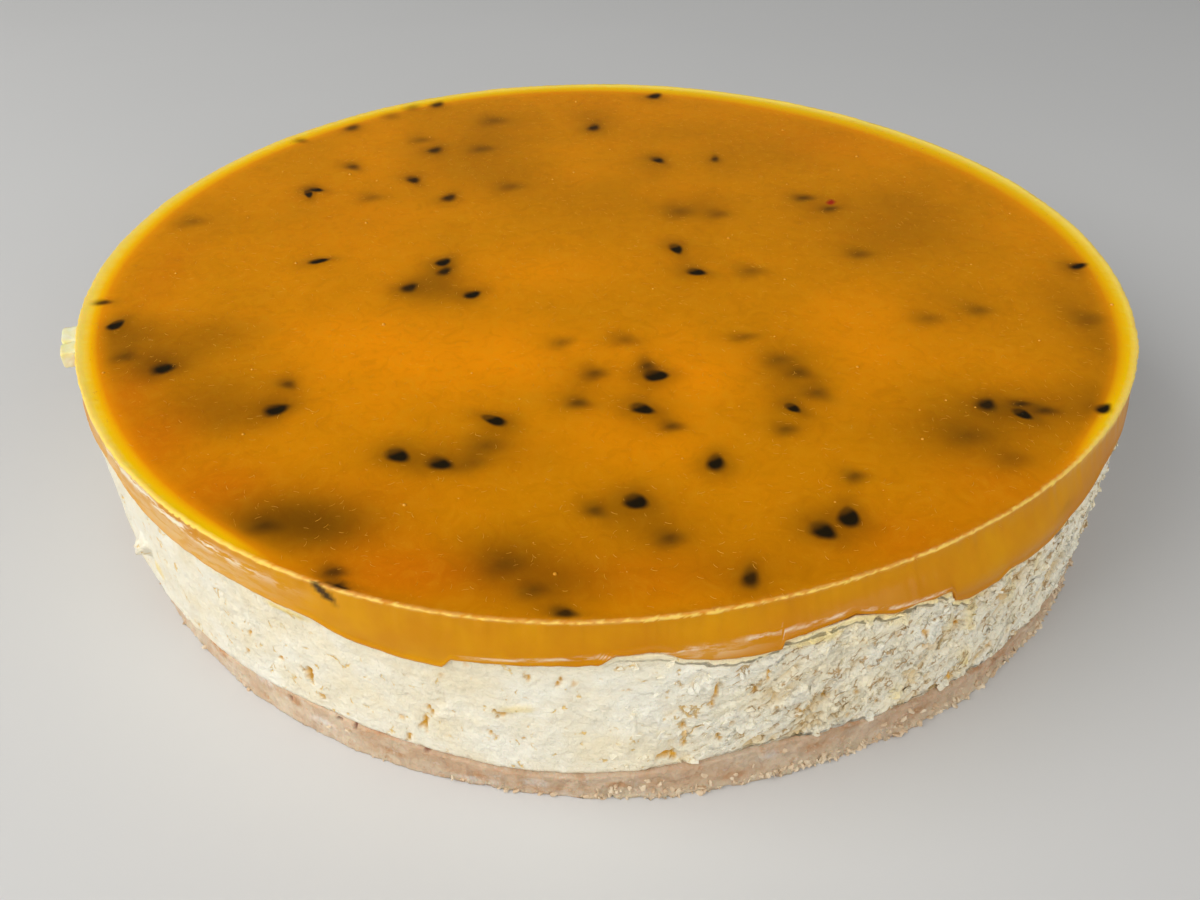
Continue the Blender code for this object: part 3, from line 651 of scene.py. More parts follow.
def jelly_material():
    """Set passion fruit jelly: orange to amber, olive over deep seeds, with painted light at its rim: a
    yellow glow, a pale edge and a highlight along its top ridge; on its wall, painted shade, a painted
    highlight line and white smears that are partly painted reflection.
    """
    material, tree, shader, place = new_material(
        "set_jelly_glossy", Roughness=0.36, Specular_IOR_Level=0.06, Subsurface_Weight=0.3,
        Subsurface_Scale=0.0012, Coat_Roughness=0.12,
    )
    shader.inputs["Subsurface Radius"].default_value = (1.0, 0.45, 0.08)
    broad = noise_of(tree, place, 30.0 * MM, 4.0, 0.6)
    pulp = noise_of(tree, place, 4.5 * MM, 5.0, 0.62, 1.6)
    hairs = noise_of(tree, place, 1.6 * MM, 3.0, 0.7, 2.2)
    drip = noise_of(tree, place, 9.0 * MM, 3.0)
    ragged = noise_of(tree, place, 2.5 * MM, 3.0, 0.7)
    streaks = noise_of(tree, stretched(tree, place, (1.0, 1.0, 5.0)), 5.0 * MM, 5.0, 0.6)
    bright = plus(tree, named(tree, "bright"), spread(tree, broad, 0.40, 0.70, -0.1, 0.4), hold=True)
    colour = mixed(tree, bright, linear(210, 132, 0), linear(242, 145, 0))
    colour = painted_over(tree, colour, (
        ("deep", (208, 99, 0)),
        (spread(tree, pulp, 0.50, 0.72, 0.0, 0.30), (222, 150, 22)),
        (spread(tree, pulp, 0.50, 0.30, 0.0, 0.25), (178, 106, 0)),
        (spread(tree, hairs, 0.60, 0.74, 0.0, 0.26), (234, 166, 36)),
        ("cloud", (96, 58, 2)),
        # painted light: the yellow glow in from the rim and its pale edge
        ("glow", (255, 156, 0)),
        (spread(tree, named(tree, "glow"), 0.45, 1.0), (255, 202, 0)),
        ("pale", (255, 226, 112)),
    ))
    wall = mixed(tree, spread(tree, drip, 0.35, 0.65), linear(214, 148, 0), linear(204, 134, 0))
    # painted shade: the wall darker towards the right and towards its lower edge
    wall = painted_over(tree, wall, (("painted_shade", (184, 112, 0)),))
    colour = mixed(tree, named(tree, "wall"), colour, wall)
    colour = painted_over(tree, colour, (
        ("milky", (216, 166, 84)),
        # painted highlight along the rim's top ridge
        (times(tree, named(tree, "crest_highlight"), spread(tree, ragged, 0.35, 0.6, 0.45, 1.0)), (228, 186, 108)),
        # white smears, partly painted reflection, with the painted highlight line along the crease
        (times(tree, named(tree, "smear_and_reflection"), spread(tree, streaks, 0.43, 0.53), hold=True), (242, 228, 200)),
        ("red", (170, 44, 14)),
        ("near_seed", (30, 22, 8)),
    ))
    tree.links.new(colour, shader.inputs["Base Color"])
    gloss = plus(tree, times(tree, named(tree, "wall"), 0.12), 0.05)
    tree.links.new(gloss, shader.inputs["Coat Weight"])
    relief = plus(tree, pulp, times(tree, hairs, 0.4))
    bump(tree, shader, relief, 0.07 * MM, 0.6)
    return material


def scrap_material():
    """A thin torn scrap of jelly, pale where the light comes through."""
    material, tree, shader, place = new_material(
        "torn_jelly_scrap", Roughness=0.45, Specular_IOR_Level=0.2, Subsurface_Weight=0.15,
        Subsurface_Scale=0.0006, Coat_Weight=0.1, Coat_Roughness=0.2,
    )
    shade = noise_of(tree, place, 3.0 * MM, 4.0)
    colour = mixed(tree, spread(tree, shade, 0.35, 0.65), linear(244, 240, 204), linear(240, 228, 150))
    tree.links.new(colour, shader.inputs["Base Color"])
    bump(tree, shader, shade, 0.2 * MM, 0.6)
    return material


def flake_height(tree, place, size):
    """The height of broken flakes of about this size, each with its own level and slope."""
    cells = cells_of(tree, place, size)
    own = vectors(tree, "SUBTRACT", cells["Color"], (0.5, 0.5, 0.5))
    gap = vectors(tree, "SUBTRACT", place, cells["Position"])
    slope = wire(tree, "ShaderNodeVectorMath", {0: own, 1: gap}, operation="DOT_PRODUCT").outputs["Value"]
    return plus(tree, slope, times(tree, parts_of(tree, own)[0], 0.3 * size))


def cream_material():
    """Set cream cheese filling: off-white, torn, with golden cracks and pits, painted shade in its hollows
    and in the gaps between its flakes, and painted warm shade under the jelly's lip.
    """
    material, tree, shader, place = new_material(
        "cream_cheese_set", Roughness=0.5, Specular_IOR_Level=0.4, Subsurface_Weight=0.12,
        Subsurface_Scale=0.0006, Coat_Weight=0.12, Coat_Roughness=0.3,
    )
    shader.inputs["Subsurface Radius"].default_value = (1.0, 0.75, 0.5)
    rough = named(tree, "growth")
    patches = noise_of(tree, place, 11.0 * MM, 4.0, 0.6)
    colour = mixed(tree, spread(tree, patches, 0.35, 0.65), linear(246, 240, 220), linear(242, 229, 196))
    # painted shade in the hollows; the yellow also stands for painted warm shade under the jelly's lip
    colour = painted_over(tree, colour, (("butter_and_lip_shade", (246, 218, 132)), ("painted_hollow_shade", (224, 194, 138))))
    twist = times(tree, times(tree, parts_of(tree, place)[2], LEAN_OF_TEARS / TIN_RADIUS), rough)
    leaning = wire(
        tree, "ShaderNodeVectorRotate", {"Vector": place, "Angle": twist}, rotation_type="Z_AXIS",
    ).outputs[0]
    tall = stretched(tree, leaning, (1.0, 1.0, TALLNESS_OF_TEARS))
    warp = noise_of(tree, place, 1.8 * MM, 3.0, kind="Color")
    bent = vectors(tree, "ADD", tall, scaled(tree, warp, 2.4 * MM))
    edges = cells_of(tree, bent, 2.6 * MM, feature="DISTANCE_TO_EDGE")[0]
    dashes = noise_of(tree, place, 2.6 * MM, 2.0)
    wanted = spread(tree, rough, 0.0, 1.0, 0.60, 0.52)
    shown = times(tree, sums(tree, "SUBTRACT", dashes, wanted), 14.0, hold=True)
    cracks = times(tree, spread(tree, edges, 0.015, 0.075, 1.0, 0.0), shown)
    dots = spread(tree, cells_of(tree, bent, 3.4 * MM)[0], 0.04, 0.09, 0.8, 0.0)
    marks = sums(tree, "MAXIMUM", cracks, dots)
    # the cracks and dots are partly the cream's own golden marks and partly painted shade in the gaps between
    # flakes, darker where the side is rough
    gold_and_gap_shade = mixed(tree, rough, linear(236, 192, 88), linear(186, 144, 80))
    colour = mixed(tree, times(tree, marks, 0.85), colour, gold_and_gap_shade)
    colour = painted_over(tree, colour, (("pit", (226, 166, 30)),))
    tree.links.new(colour, shader.inputs["Base Color"])
    flakes = plus(tree, flake_height(tree, bent, 2.8 * MM), flake_height(tree, bent, 1.3 * MM))
    flakes = times(tree, flakes, spread(tree, rough, 0.0, 1.0, 0.25, 0.8))
    soft = times(tree, noise_of(tree, place, 1.1 * MM, 4.0, 0.65), 0.35 * MM)
    height = sums(tree, "SUBTRACT", plus(tree, flakes, soft), times(tree, marks, 0.16 * MM))
    bump(tree, shader, height, 1.0, 0.9)
    return material


def biscuit_material():
    """Pressed biscuit: pinkish tan, with toasted and fatty patches, a few dark spots and painted shade
    towards the right.
    """
    material, tree, shader, place = new_material(
        "pressed_biscuit_crumb", Roughness=0.5, Specular_IOR_Level=0.4, Subsurface_Weight=0.2,
        Subsurface_Scale=0.001, Coat_Weight=0.12, Coat_Roughness=0.3,
    )
    patches = noise_of(tree, place, 6.0 * MM, 4.0, 0.6)
    colour = mixed(tree, spread(tree, patches, 0.40, 0.62), linear(206, 172, 136), linear(220, 198, 168))
    mottle = noise_of(tree, place, 2.2 * MM, 4.0, 0.7)
    toast = times(tree, named(tree, "toasted"), spread(tree, mottle, 0.35, 0.55), hold=True)
    toast = plus(tree, toast, spread(tree, mottle, 0.58, 0.68, 0.0, 0.7), hold=True)
    fat = times(tree, named(tree, "fatty"), spread(tree, mottle, 0.62, 0.42), hold=True)
    fat = plus(tree, fat, spread(tree, mottle, 0.40, 0.30, 0.0, 0.6), hold=True)
    colour = painted_over(tree, colour, (
        (toast, (196, 148, 102)),
        (fat, (228, 216, 200)),
        ("foot", (222, 204, 172)),
        # painted shade
        ("painted_shade", (148, 112, 82)),
        ("pit", (116, 44, 20)),
    ))
    tree.links.new(colour, shader.inputs["Base Color"])
    tall = stretched(tree, place, (1.0, 1.0, 0.6))
    grain = plus(tree, flake_height(tree, tall, 1.7 * MM), flake_height(tree, tall, 0.8 * MM))
    grain = plus(tree, times(tree, grain, 0.7), times(tree, mottle, 0.4 * MM))
    bump(tree, shader, grain, 1.0, 0.7)
    return material


def seed_material():
    """Passion fruit seeds: nearly black, a little brown, wet."""
    material, tree, shader, place = new_material(
        "wet_black_seed", Roughness=0.42, Specular_IOR_Level=0.2, Coat_Weight=0.12, Coat_Roughness=0.15,
    )
    brown = noise_of(tree, place, 1.0 * MM, 3.0)
    colour = mixed(tree, spread(tree, brown, 0.45, 0.7), linear(28, 22, 10), linear(56, 36, 12))
    tree.links.new(colour, shader.inputs["Base Color"])
    bump(tree, shader, noise_of(tree, place, 0.5 * MM, 2.0), 0.08 * MM, 0.6)
    return material


def pulp_material():
    """Fine threads and bubbles of fruit pulp at the top of the jelly."""
    material, tree, shader, place = new_material(
        "fruit_pulp", Roughness=0.4, Specular_IOR_Level=0.25, Coat_Weight=0.15, Coat_Roughness=0.15,
    )
    shade = noise_of(tree, place, 6.0 * MM, 2.0)
    colour = mixed(tree, spread(tree, shade, 0.35, 0.65), linear(212, 140, 18), linear(230, 166, 52))
    tree.links.new(colour, shader.inputs["Base Color"])
    return material


def crumb_material():
    """Loose crumbs, paler than the pressed base."""
    material, tree, shader, place = new_material("loose_crumb", Roughness=0.6, IOR=1.45)
    shade = noise_of(tree, place, 2.2 * MM, 3.0)
    colour = mixed(tree, spread(tree, shade, 0.38, 0.62), linear(226, 208, 178), linear(208, 178, 142))
    tree.links.new(colour, shader.inputs["Base Color"])
    bump(tree, shader, noise_of(tree, place, 0.5 * MM, 3.0), 0.12 * MM, 0.7)
    return material


def floor_material():
    """A plain pale surface."""
    material, tree, shader, place = new_material("pale_floor", Roughness=0.6, IOR=1.45)
    shade = noise_of(tree, place, 160.0 * MM, 3.0)
    colour = mixed(tree, shade, linear(206, 205, 203), linear(212, 211, 209))
    tree.links.new(colour, shader.inputs["Base Color"])
    return material


def seed_field(across, along, turn, half_length, half_width):
    """How far points are outside a teardrop seed, in shares of its size."""
    angle = math.radians(turn)
    u = (across * math.cos(angle) + along * math.sin(angle)) / half_length
    v = (-across * math.sin(angle) + along * math.cos(angle)) / half_width
    taper = 1.0 - SEED_TAPER * np.clip(u, -1.0, 1.0)
    return np.hypot(u, v / taper) - 1.0


def patch_values(points, patches):
    """Soft patches laid over each other, at most 1."""
    clear = np.ones(len(points))
    for across, along, half_across, half_along, strength in patches:
        u = (points[:, 0] - across * MM) / (half_across * MM)
        v = (points[:, 1] - along * MM) / (half_along * MM)
        clear *= 1.0 - strength * np.exp(-(u * u + v * v))
    return 1.0 - clear


def widening_faces(inner, outer, columns):
    """Joins a ring of vertices to a ring with twice as many."""
    faces = []
    for i in range(columns):
        a, b = inner + i, inner + (i + 1) % columns
        c, d, e = outer + 2 * i, outer + 2 * i + 1, outer + (2 * i + 2) % (2 * columns)
        faces += [(a, c, d), (a, d, b), (b, d, e)]
    return faces


def jelly_mesh(name):
    """The jelly: a disc of even triangles, then its rim, wall, lip and seat."""
    columns = 6 * JELLY_RINGS
    points = [[0.0, 0.0, JELLY_TOP]]
    faces = []
    start = [0, 1]
    for ring in range(1, JELLY_RINGS + 1):
        azimuth = np.arange(6 * ring) * 60.0 / ring
        points += round_place(azimuth, JELLY_RING_WIDTH * ring, JELLY_TOP).tolist()
        start.append(start[-1] + 6 * ring)
    for ring in range(1, JELLY_RINGS + 1):
        inner, outer = start[ring - 1], start[ring]
        for sector in range(6):
            for step in range(ring):
                a = outer + sector * ring + step
                b = outer + (sector * ring + step + 1) % (6 * ring)
                c = inner + (sector * (ring - 1) + step) % max(1, 6 * (ring - 1))
                faces.append((c, a, b))
                if step < ring - 1:
                    d = inner + (sector * (ring - 1) + step + 1) % (6 * (ring - 1))
                    faces.append((c, b, d))
    faces += widening_faces(start[-2], len(points), columns)
    columns *= 2
    azimuth = np.arange(columns) * 360.0 / columns
    for number, row in enumerate(jelly_rim(azimuth)):
        if number:
            faces += ring_faces(len(points), len(points) - columns, columns)
        points += row.tolist()
    foot = len(points)
    points.append([0.0, 0.0, JELLY_SEAT + LAYER_GAP])
    faces += [(foot, foot - columns + (i + 1) % columns, foot - columns + i) for i in range(columns)]
    return mesh_of(name, np.array(points), faces)


def jelly_rim(azimuth):
    """Rings of the jelly from the edge of its flat top over the rim, down the wall and under."""
    rim = round_place(azimuth, TIN_RADIUS, 0.0)
    inner = JELLY_RINGS * JELLY_RING_WIDTH
    outer = rim_radius(azimuth) + 0.16 * MM * layered(rim, 1.6 * MM, 23, 3)
    rise = RIM_RISE * (1.0 + 0.5 * drift(rim, 12.0 * MM, 21)) + 0.08 * MM * layered(rim, 1.2 * MM, 22, 3)
    rows = []
    for share in (0.2, 0.4, 0.6, 0.78, 0.9, 1.0):
        radius = inner + share * (outer - RIM_ROUNDING - inner)
        climb = np.maximum(0.0, 1.0 - (outer - RIM_ROUNDING - radius) / RIM_REACH) ** 2
        rows.append(round_place(azimuth, radius, JELLY_TOP + rise * climb))
    top = JELLY_TOP + rise
    low = jelly_edge(azimuth) + LAYER_GAP / 2
    side = side_radius(azimuth)
    crease = around(azimuth, CREASE_HEIGHTS)
    seen = between(azimuth, *CREASED_FORM)
    heights = [top - down * MM for down in (0.06, 0.2, 0.45, 0.8)]
    knee = low + LIP_ROWS[0] * MM
    heights += [heights[-1] + share * (knee - heights[-1]) for share in np.arange(1, 9) / 8.0]
    heights += [low + up * MM for up in LIP_ROWS[1:]]
    for height in heights:
        place = round_place(azimuth, TIN_RADIUS, height)
        leaning = smooth_step(0.0, 8.0 * MM, JELLY_TOP - height)
        radius = outer + (side - outer) * leaning + WALL_WAVES * drift(place, 9.0 * MM, 24)
        radius = radius - 0.25 * MM * (1.0 - smooth_step(0.0, 0.3 * MM, top - height))
        radius = radius + 0.2 * MM * bell(height - low, 0.8 * MM, 0.5 * MM)
        radius = radius - seen * 0.25 * MM * bell(height, crease, 0.3 * MM)
        radius = radius - 0.35 * MM * (1.0 - smooth_step(0.0, 0.5 * MM, height - low)) ** 2
        rows.append(round_place(azimuth, radius, height))
    rows.append(round_place(azimuth, TIN_RADIUS - LIP_THICKNESS, low))
    rows.append(round_place(azimuth, TIN_RADIUS - LIP_THICKNESS - JELLY_SEAT_INSET, JELLY_SEAT + LAYER_GAP))
    return rows


def refine_near(mesh, reach, least):
    """Splits the flat top's faces near seeds that lie at least this near the top."""
    shape = bmesh.new()
    shape.from_mesh(mesh)
    centres = np.array([seed[:2] for seed in NEAR_SEEDS if seed[5] >= least]) * MM
    edges = []
    for edge in shape.edges:
        middle = (edge.verts[0].co + edge.verts[1].co) / 2
        if middle.z < JELLY_TOP - 0.1 * MM or middle.xy.length > TIN_RADIUS - 3.0 * MM:
            continue
        if np.min(np.hypot(centres[:, 0] - middle.x, centres[:, 1] - middle.y)) < reach:
            edges.append(edge)
    bmesh.ops.subdivide_edges(shape, edges=edges, cuts=1, use_grid_fill=True)
    bmesh.ops.triangulate(shape, faces=[face for face in shape.faces if len(face.verts) > 4])
    shape.to_mesh(mesh)
    shape.free()


def seed_marks(points, level, seen):
    """What the seeds near the top do to it: how clear of them it is, its shade and its lift."""
    clear = np.ones(len(points))
    shade = patch_values(points, CLOUDS)
    lift = RIPPLE * layered(level, 9.0 * MM, 31, 3)
    wobble = 0.07 * drift(level, 1.5 * MM, 33)
    for x, y, turn, half_length, half_width, near in NEAR_SEEDS:
        across, along = points[:, 0] / MM - x, points[:, 1] / MM - y
        field = seed_field(across, along, turn, half_length, half_width) + wobble
        blur = 0.3 + 1.3 * (1.0 - near)
        # painted highlight: each seed a little lighter towards its far side
        behind = smooth_step(0.1, 1.0, (along - 0.6 * across) / half_width)
        dark = min(1.0, 0.2 + 0.95 * near) * (1.0 - smooth_step(-blur, blur, field)) * (1.0 - 0.3 * behind)
        clear *= 1.0 - dark * seen
        halo = 0.34 * np.exp(-np.maximum(field, 0.0) ** 2 / 1.8)
        shade = 1.0 - (1.0 - shade) * (1.0 - halo * (0.3 + 0.7 * near))
        if near >= PROUD_FROM:
            lift += 0.1 * MM * np.exp(-np.maximum(field, 0.0) ** 2 / 0.5)
    return clear, shade, lift


def wall_seed_marks(points, azimuth, radius, clear):
    """Darkens the wall where seeds show through it."""
    for centre, height, lean, half_length, half_width, strength in WALL_SEEDS:
        across = np.radians(turn_between(azimuth, centre)) * TIN_RADIUS / MM
        field = seed_field(across, points[:, 2] / MM - height, lean, half_length, half_width)
        blur = 0.25 + 1.2 * (1.0 - strength)
        clear *= 1.0 - strength * (1.0 - smooth_step(-blur, blur, field)) * (radius > TIN_RADIUS - 0.9 * MM)


def rim_marks(height, azimuth, inward, level, near_top):
    """The painted light at the rim, by name: the yellow glow in from it, its pale edge and a highlight along
    its top ridge.
    """
    near_front = near_azimuth(azimuth, -80.0, 45.0, 15.0)
    # painted light: a yellow glow and a pale edge where light comes in at the rim
    glow = smooth_step(0.0, 0.85, 1.0 - inward / around(azimuth, GLOW_WIDTHS, 8.0)) * (1.0 - near_front)
    serrated = inward - 0.35 * MM * layered(level, 1.3 * MM, 34, 3)
    pale = smooth_step(0.0, 1.0, 1.25 - serrated / around(azimuth, PALE_WIDTHS, 8.0))
    # painted highlight: a thin pale line along the rim's top ridge
    crest_place = 0.25 * MM + 0.3 * MM * layered(level, 1.1 * MM, 35, 2)
    crest_highlight = bell(inward, crest_place, 0.3 * MM) * (height > JELLY_TOP - 0.3 * MM)
    return {"glow": glow * near_top, "pale": 0.75 * pale * near_top, "crest_highlight": 0.45 * crest_highlight}


def wall_marks(height, azimuth, wall):
    """The wall's painted shade, its milky film, its white smears, partly painted reflection, and the painted
    highlight line along its crease, by name.
    """
    # painted highlight: a thin pale line along the groove above the lip
    crease = bell(height, around(azimuth, CREASE_HEIGHTS), 0.16 * MM)
    crease = crease * between(azimuth, *HIGHLIT_CREASE)
    left = between(azimuth, *MILKY_WALL)
    off = height - around(azimuth, SMEAR_HEIGHTS)
    under = 1.0 - smooth_step(-1.0 * MM, 0.6 * MM, off)
    # white smears, partly cream smeared over the jelly and partly painted reflection
    smear_and_reflection = left * bell(off, 0.0, 0.9 * MM) + 0.18 * left * bell(off, -3.0 * MM, 1.6 * MM)
    film = np.exp(-((azimuth + 82.0) / 3.5) ** 2 - ((height - 35.2 * MM) / (0.9 * MM)) ** 2)
    # painted shade: darker towards the right and towards the lip
    shaded = between(azimuth, *SHADED_WALL)
    low = 1.0 - smooth_step(0.0, 6.0 * MM, height - jelly_edge(azimuth))
    return {
        "painted_shade": shaded * (0.15 + 0.55 * low),
        "milky": np.clip(0.65 * left * under + 0.35 * film, 0.0, 1.0) * wall,
        "smear_and_reflection": np.clip(1.2 * smear_and_reflection + 0.7 * crease + 0.25 * film, 0.0, 1.0) * wall,
    }


def make_jelly(material):
    """The jelly layer, with all that its material reads kept on its points."""
    mesh = jelly_mesh("jelly_layer")
    for reach, least in REFINING:
        refine_near(mesh, reach, least)
    points = vertex_places(mesh)
    radius = np.hypot(points[:, 0], points[:, 1])
    azimuth = np.degrees(np.arctan2(points[:, 1], points[:, 0]))
    inward = rim_radius(azimuth) - radius
    down = JELLY_TOP - points[:, 2]
    above = (points[:, 2] > JELLY_TOP - 0.1 * MM) * 1.0
    on_top = smooth_step(0.4 * MM, 2.0 * MM, inward) * above
    seen = smooth_step(0.1 * MM, 0.6 * MM, inward) * above
    facing = near_azimuth(azimuth, -88.0, 62.0, 20.0)
    wall = (1.0 - above) * (radius > TIN_RADIUS - 6.0 * MM)
    wall = wall * (facing + (1.0 - facing) * smooth_step(0.3 * MM, 1.5 * MM, down))
    near_top = (down < 2.0 * MM) * 1.0
    level = np.column_stack([points[:, :2], np.zeros(len(points))])
    clear, shade, lift = seed_marks(points, level, seen)
    wall_seed_marks(points, azimuth, radius, clear)
    x, y, turn, half_length, half_width = RED_FLECK
    red = seed_field(points[:, 0] / MM - x, points[:, 1] / MM - y, turn, half_length, half_width)
    points[:, 2] += on_top * lift
    mesh.vertices.foreach_set("co", points.astype(np.float32).ravel())
    marks = {
        "near_seed": 1.0 - clear,
        "cloud": shade * on_top,
        "bright": patch_values(points, BRIGHT_PATCHES),
        "deep": patch_values(points, DEEP_PATCHES),
        "wall": wall,
        **rim_marks(points[:, 2], azimuth, inward, level, near_top),
        **wall_marks(points[:, 2], azimuth, wall),
        "red": 1.0 - smooth_step(-0.3, 0.5, red),
        "growth": (radius < TIN_RADIUS - 3.0 * MM) * (down < 1.0 * MM) * clear ** 2,
    }
    for label, values in marks.items():
        set_attribute(mesh, label, values)
    mesh.materials.append(material)
    piece = add_piece("jelly_layer", mesh)
    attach(piece, "root")
    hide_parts("passionfruit_jelly")
    return piece


def make_scrap(material):
    """The torn scrap at the rim: a lumpy slab that sticks out, parted in two by a furrow."""
    shape = bmesh.new()
    bmesh.ops.create_icosphere(shape, subdivisions=5, radius=0.5)
    for vertex in shape.verts:
        place = np.array([list(vertex.co)])
        square = 1.0 / max(0.62, float(np.max(np.abs(place))) * 2.0)
        furrow = 0.10 * math.exp(-((vertex.co.y - 0.06) / 0.035) ** 2)
        slope = 1.0 - 0.25 * (vertex.co.y + 0.5)
        uneven = 1.0 + 0.06 * float(layered(place, 0.5, 81, 2)[0])
        grow = square * uneven
        vertex.co.x = (vertex.co.x * grow - furrow * (vertex.co.x > 0)) * SCRAP_SIZES[0] * slope
        vertex.co.y = vertex.co.y * grow * SCRAP_SIZES[1]
        vertex.co.z = (vertex.co.z * grow - furrow * (vertex.co.z > 0)) * SCRAP_SIZES[2]
    angle = math.radians(SCRAP_AZIMUTH)
    reach = TIN_RADIUS + SCRAP_PROUD - SCRAP_SIZES[0] / 2
    place = Matrix.Translation((reach * math.cos(angle), reach * math.sin(angle), SCRAP_HEIGHT))
    bmesh.ops.transform(shape, matrix=place @ Matrix.Rotation(angle, 4, "Z"), verts=shape.verts)
    bmesh.ops.recalc_face_normals(shape, faces=shape.faces[:])
    mesh = bpy.data.meshes.new("jelly_scrap")
    shape.to_mesh(mesh)
    shape.free()
    mesh.shade_smooth()
    mesh.materials.append(material)
    piece = add_piece("jelly_scrap", mesh)
    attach(piece, "root")


def roughness_of(azimuth):
    """How craggy the filling is: smooth at the left front, rough at the right front."""
    rising = smooth_step(ROUGH_FROM, ROUGH_TO, azimuth)
    falling = smooth_step(-175.0, -150.0, azimuth)
    behind = 0.55 + 0.25 * np.sin(np.radians(3.0 * azimuth))
    front = 0.12 + 0.88 * rising
    near_front = near_azimuth(azimuth, -90.0, 100.0, 40.0)
    return behind * (1.0 - near_front) + front * near_front * (0.3 + 0.7 * falling)


def broken(points, cell, seed):
    """The height of a broken surface, about -1 to 1: each flake has its own level and slope."""
    place = points / cell
    corner = np.floor(place).astype(np.int64)
    nearest = np.full(points.shape[:-1], 9.0)
    level = np.zeros(points.shape[:-1])
    for step in np.ndindex(3, 3, 3):
        cells = corner + np.array(step) - 1
        number = hashed(cells, seed)
        parts = three_shares(number)
        gap = place - cells - np.stack(parts, axis=-1)
        away = np.linalg.norm(gap, axis=-1)
        turned = hashed(cells, seed + 7)
        slopes = [2.0 * share - 1.0 for share in three_shares(turned)]
        own = 1.2 * (parts[0] - 0.5) + sum(slopes[i] * gap[..., i] for i in range(3))
        level = np.where(away < nearest, own, level)
        nearest = np.minimum(nearest, away)
    return level


def leaning_place(azimuth, height, centre, middle, lean):
    """Millimetres along and across a line that leans from the level, on the cake's side."""
    across = np.radians(turn_between(azimuth, centre)) * TIN_RADIUS / MM
    up = height / MM - middle
    angle = math.radians(lean)
    return across * math.cos(angle) + up * math.sin(angle), up * math.cos(angle) - across * math.sin(angle)


def cream_side(azimuth, height, share):
    """Reach outwards of the filling's side, its painted shade in hollows, its pits, and its yellow places:
    knife swipes and painted warm shade under the jelly's lip.
    """
    place = round_place(azimuth, TIN_RADIUS, height)
    rough = roughness_of(azimuth)
    twist = np.degrees(LEAN_OF_TEARS * height / TIN_RADIUS) * rough
    tall = round_place(azimuth + twist, TIN_RADIUS, height * TALLNESS_OF_TEARS)
    bent = tall + 0.5 * MM * drift(place, 2.2 * MM, 46)[..., None]
    swell = 0.35 * MM * layered(place, 24.0 * MM, 43, 2)
    brushed = 0.10 * MM * layered(place * np.array([1.0, 1.0, 3.0]), 8.0 * MM, 44, 4)
    wavy = 0.14 * MM * layered(place, 4.0 * MM, 45, 4)
    flakes = 0.60 * MM * broken(bent, 3.6 * MM, 41) + 0.34 * MM * broken(bent, 1.7 * MM, 42)
    nearest, second = lumps(bent, 4.2 * MM, 50)
    cracks = -0.35 * MM * (1.0 - smooth_step(0.0, 0.16, second - nearest)) * smooth_step(0.3, 0.9, rough)
    reach = swell + brushed + wavy + (0.14 + 1.0 * rough) * flakes + cracks
    butter_and_lip_shade = np.zeros_like(reach)
    for centre, middle, lean, half_width, half_height, lift, yellow in SWIPES:
        along, off = leaning_place(azimuth, height, centre, middle, lean)
        ragged = 1.0 + 0.35 * drift(place, 1.6 * MM, 51)
        near = np.exp(-(((along / half_width) ** 4) + (off / half_height) ** 4) * ragged ** 4)
        smooth = swell + brushed + lift * MM * (0.75 + 0.5 * off / half_height)
        reach = reach * (1.0 - near) + smooth * near
        butter_and_lip_shade = np.maximum(butter_and_lip_shade, near * yellow)
    pit = np.zeros_like(reach)
    ragged = 1.0 + 0.7 * layered(place, 0.9 * MM, 47, 2)
    for centre, middle, lean, half_width, half_height, depth in HOLES:
        off, along = leaning_place(azimuth, height, centre, middle, -lean)
        away = np.hypot(off / half_width, along / half_height) / ragged
        inside = 1.0 - smooth_step(0.5, 1.25, away)
        reach = reach - 0.7 * depth * MM * inside
        pit = np.maximum(pit, inside)
    scattered, _ = lumps(place * np.array([1.0, 1.0, 0.7]), 6.5 * MM, 48)
    inside = (1.0 - smooth_step(0.03, 0.10, scattered / ragged)) * 0.8
    reach = reach - 0.3 * MM * inside
    pit = np.maximum(pit, inside * 0.7)
    across = np.radians(turn_between(azimuth, FLAP_AZIMUTH)) * TIN_RADIUS
    up = (height - FLAP_HEIGHT) / FLAP_HALF_HEIGHT
    uneven = 1.0 + 0.5 * layered(place, 2.0 * MM, 49, 3)
    narrow = FLAP_HALF_WIDTH * (0.55 + 0.45 * smooth_step(-0.8, 0.4, up))
    flap = smooth_step(0.0, 0.7, uneven - np.hypot(across / narrow, up))
    reach = reach + FLAP_REACH * (flap * (0.55 - 0.45 * np.clip(up, -1.0, 1.0)))
    # painted shade where the side is recessed
    painted_hollow_shade = smooth_step(-0.1 * MM, -1.0 * MM, reach - swell)
    # painted warm shade: yellow under the jelly's lip, where its shade falls
    butter_and_lip_shade = np.maximum(butter_and_lip_shade, 0.7 * rough * smooth_step(0.92, 0.99, share))
    reach = np.where(share < 0.98, reach, np.minimum(reach, CREAM_INSET))
    return reach * smooth_step(-0.03, 0.04, share), painted_hollow_shade, pit, butter_and_lip_shade


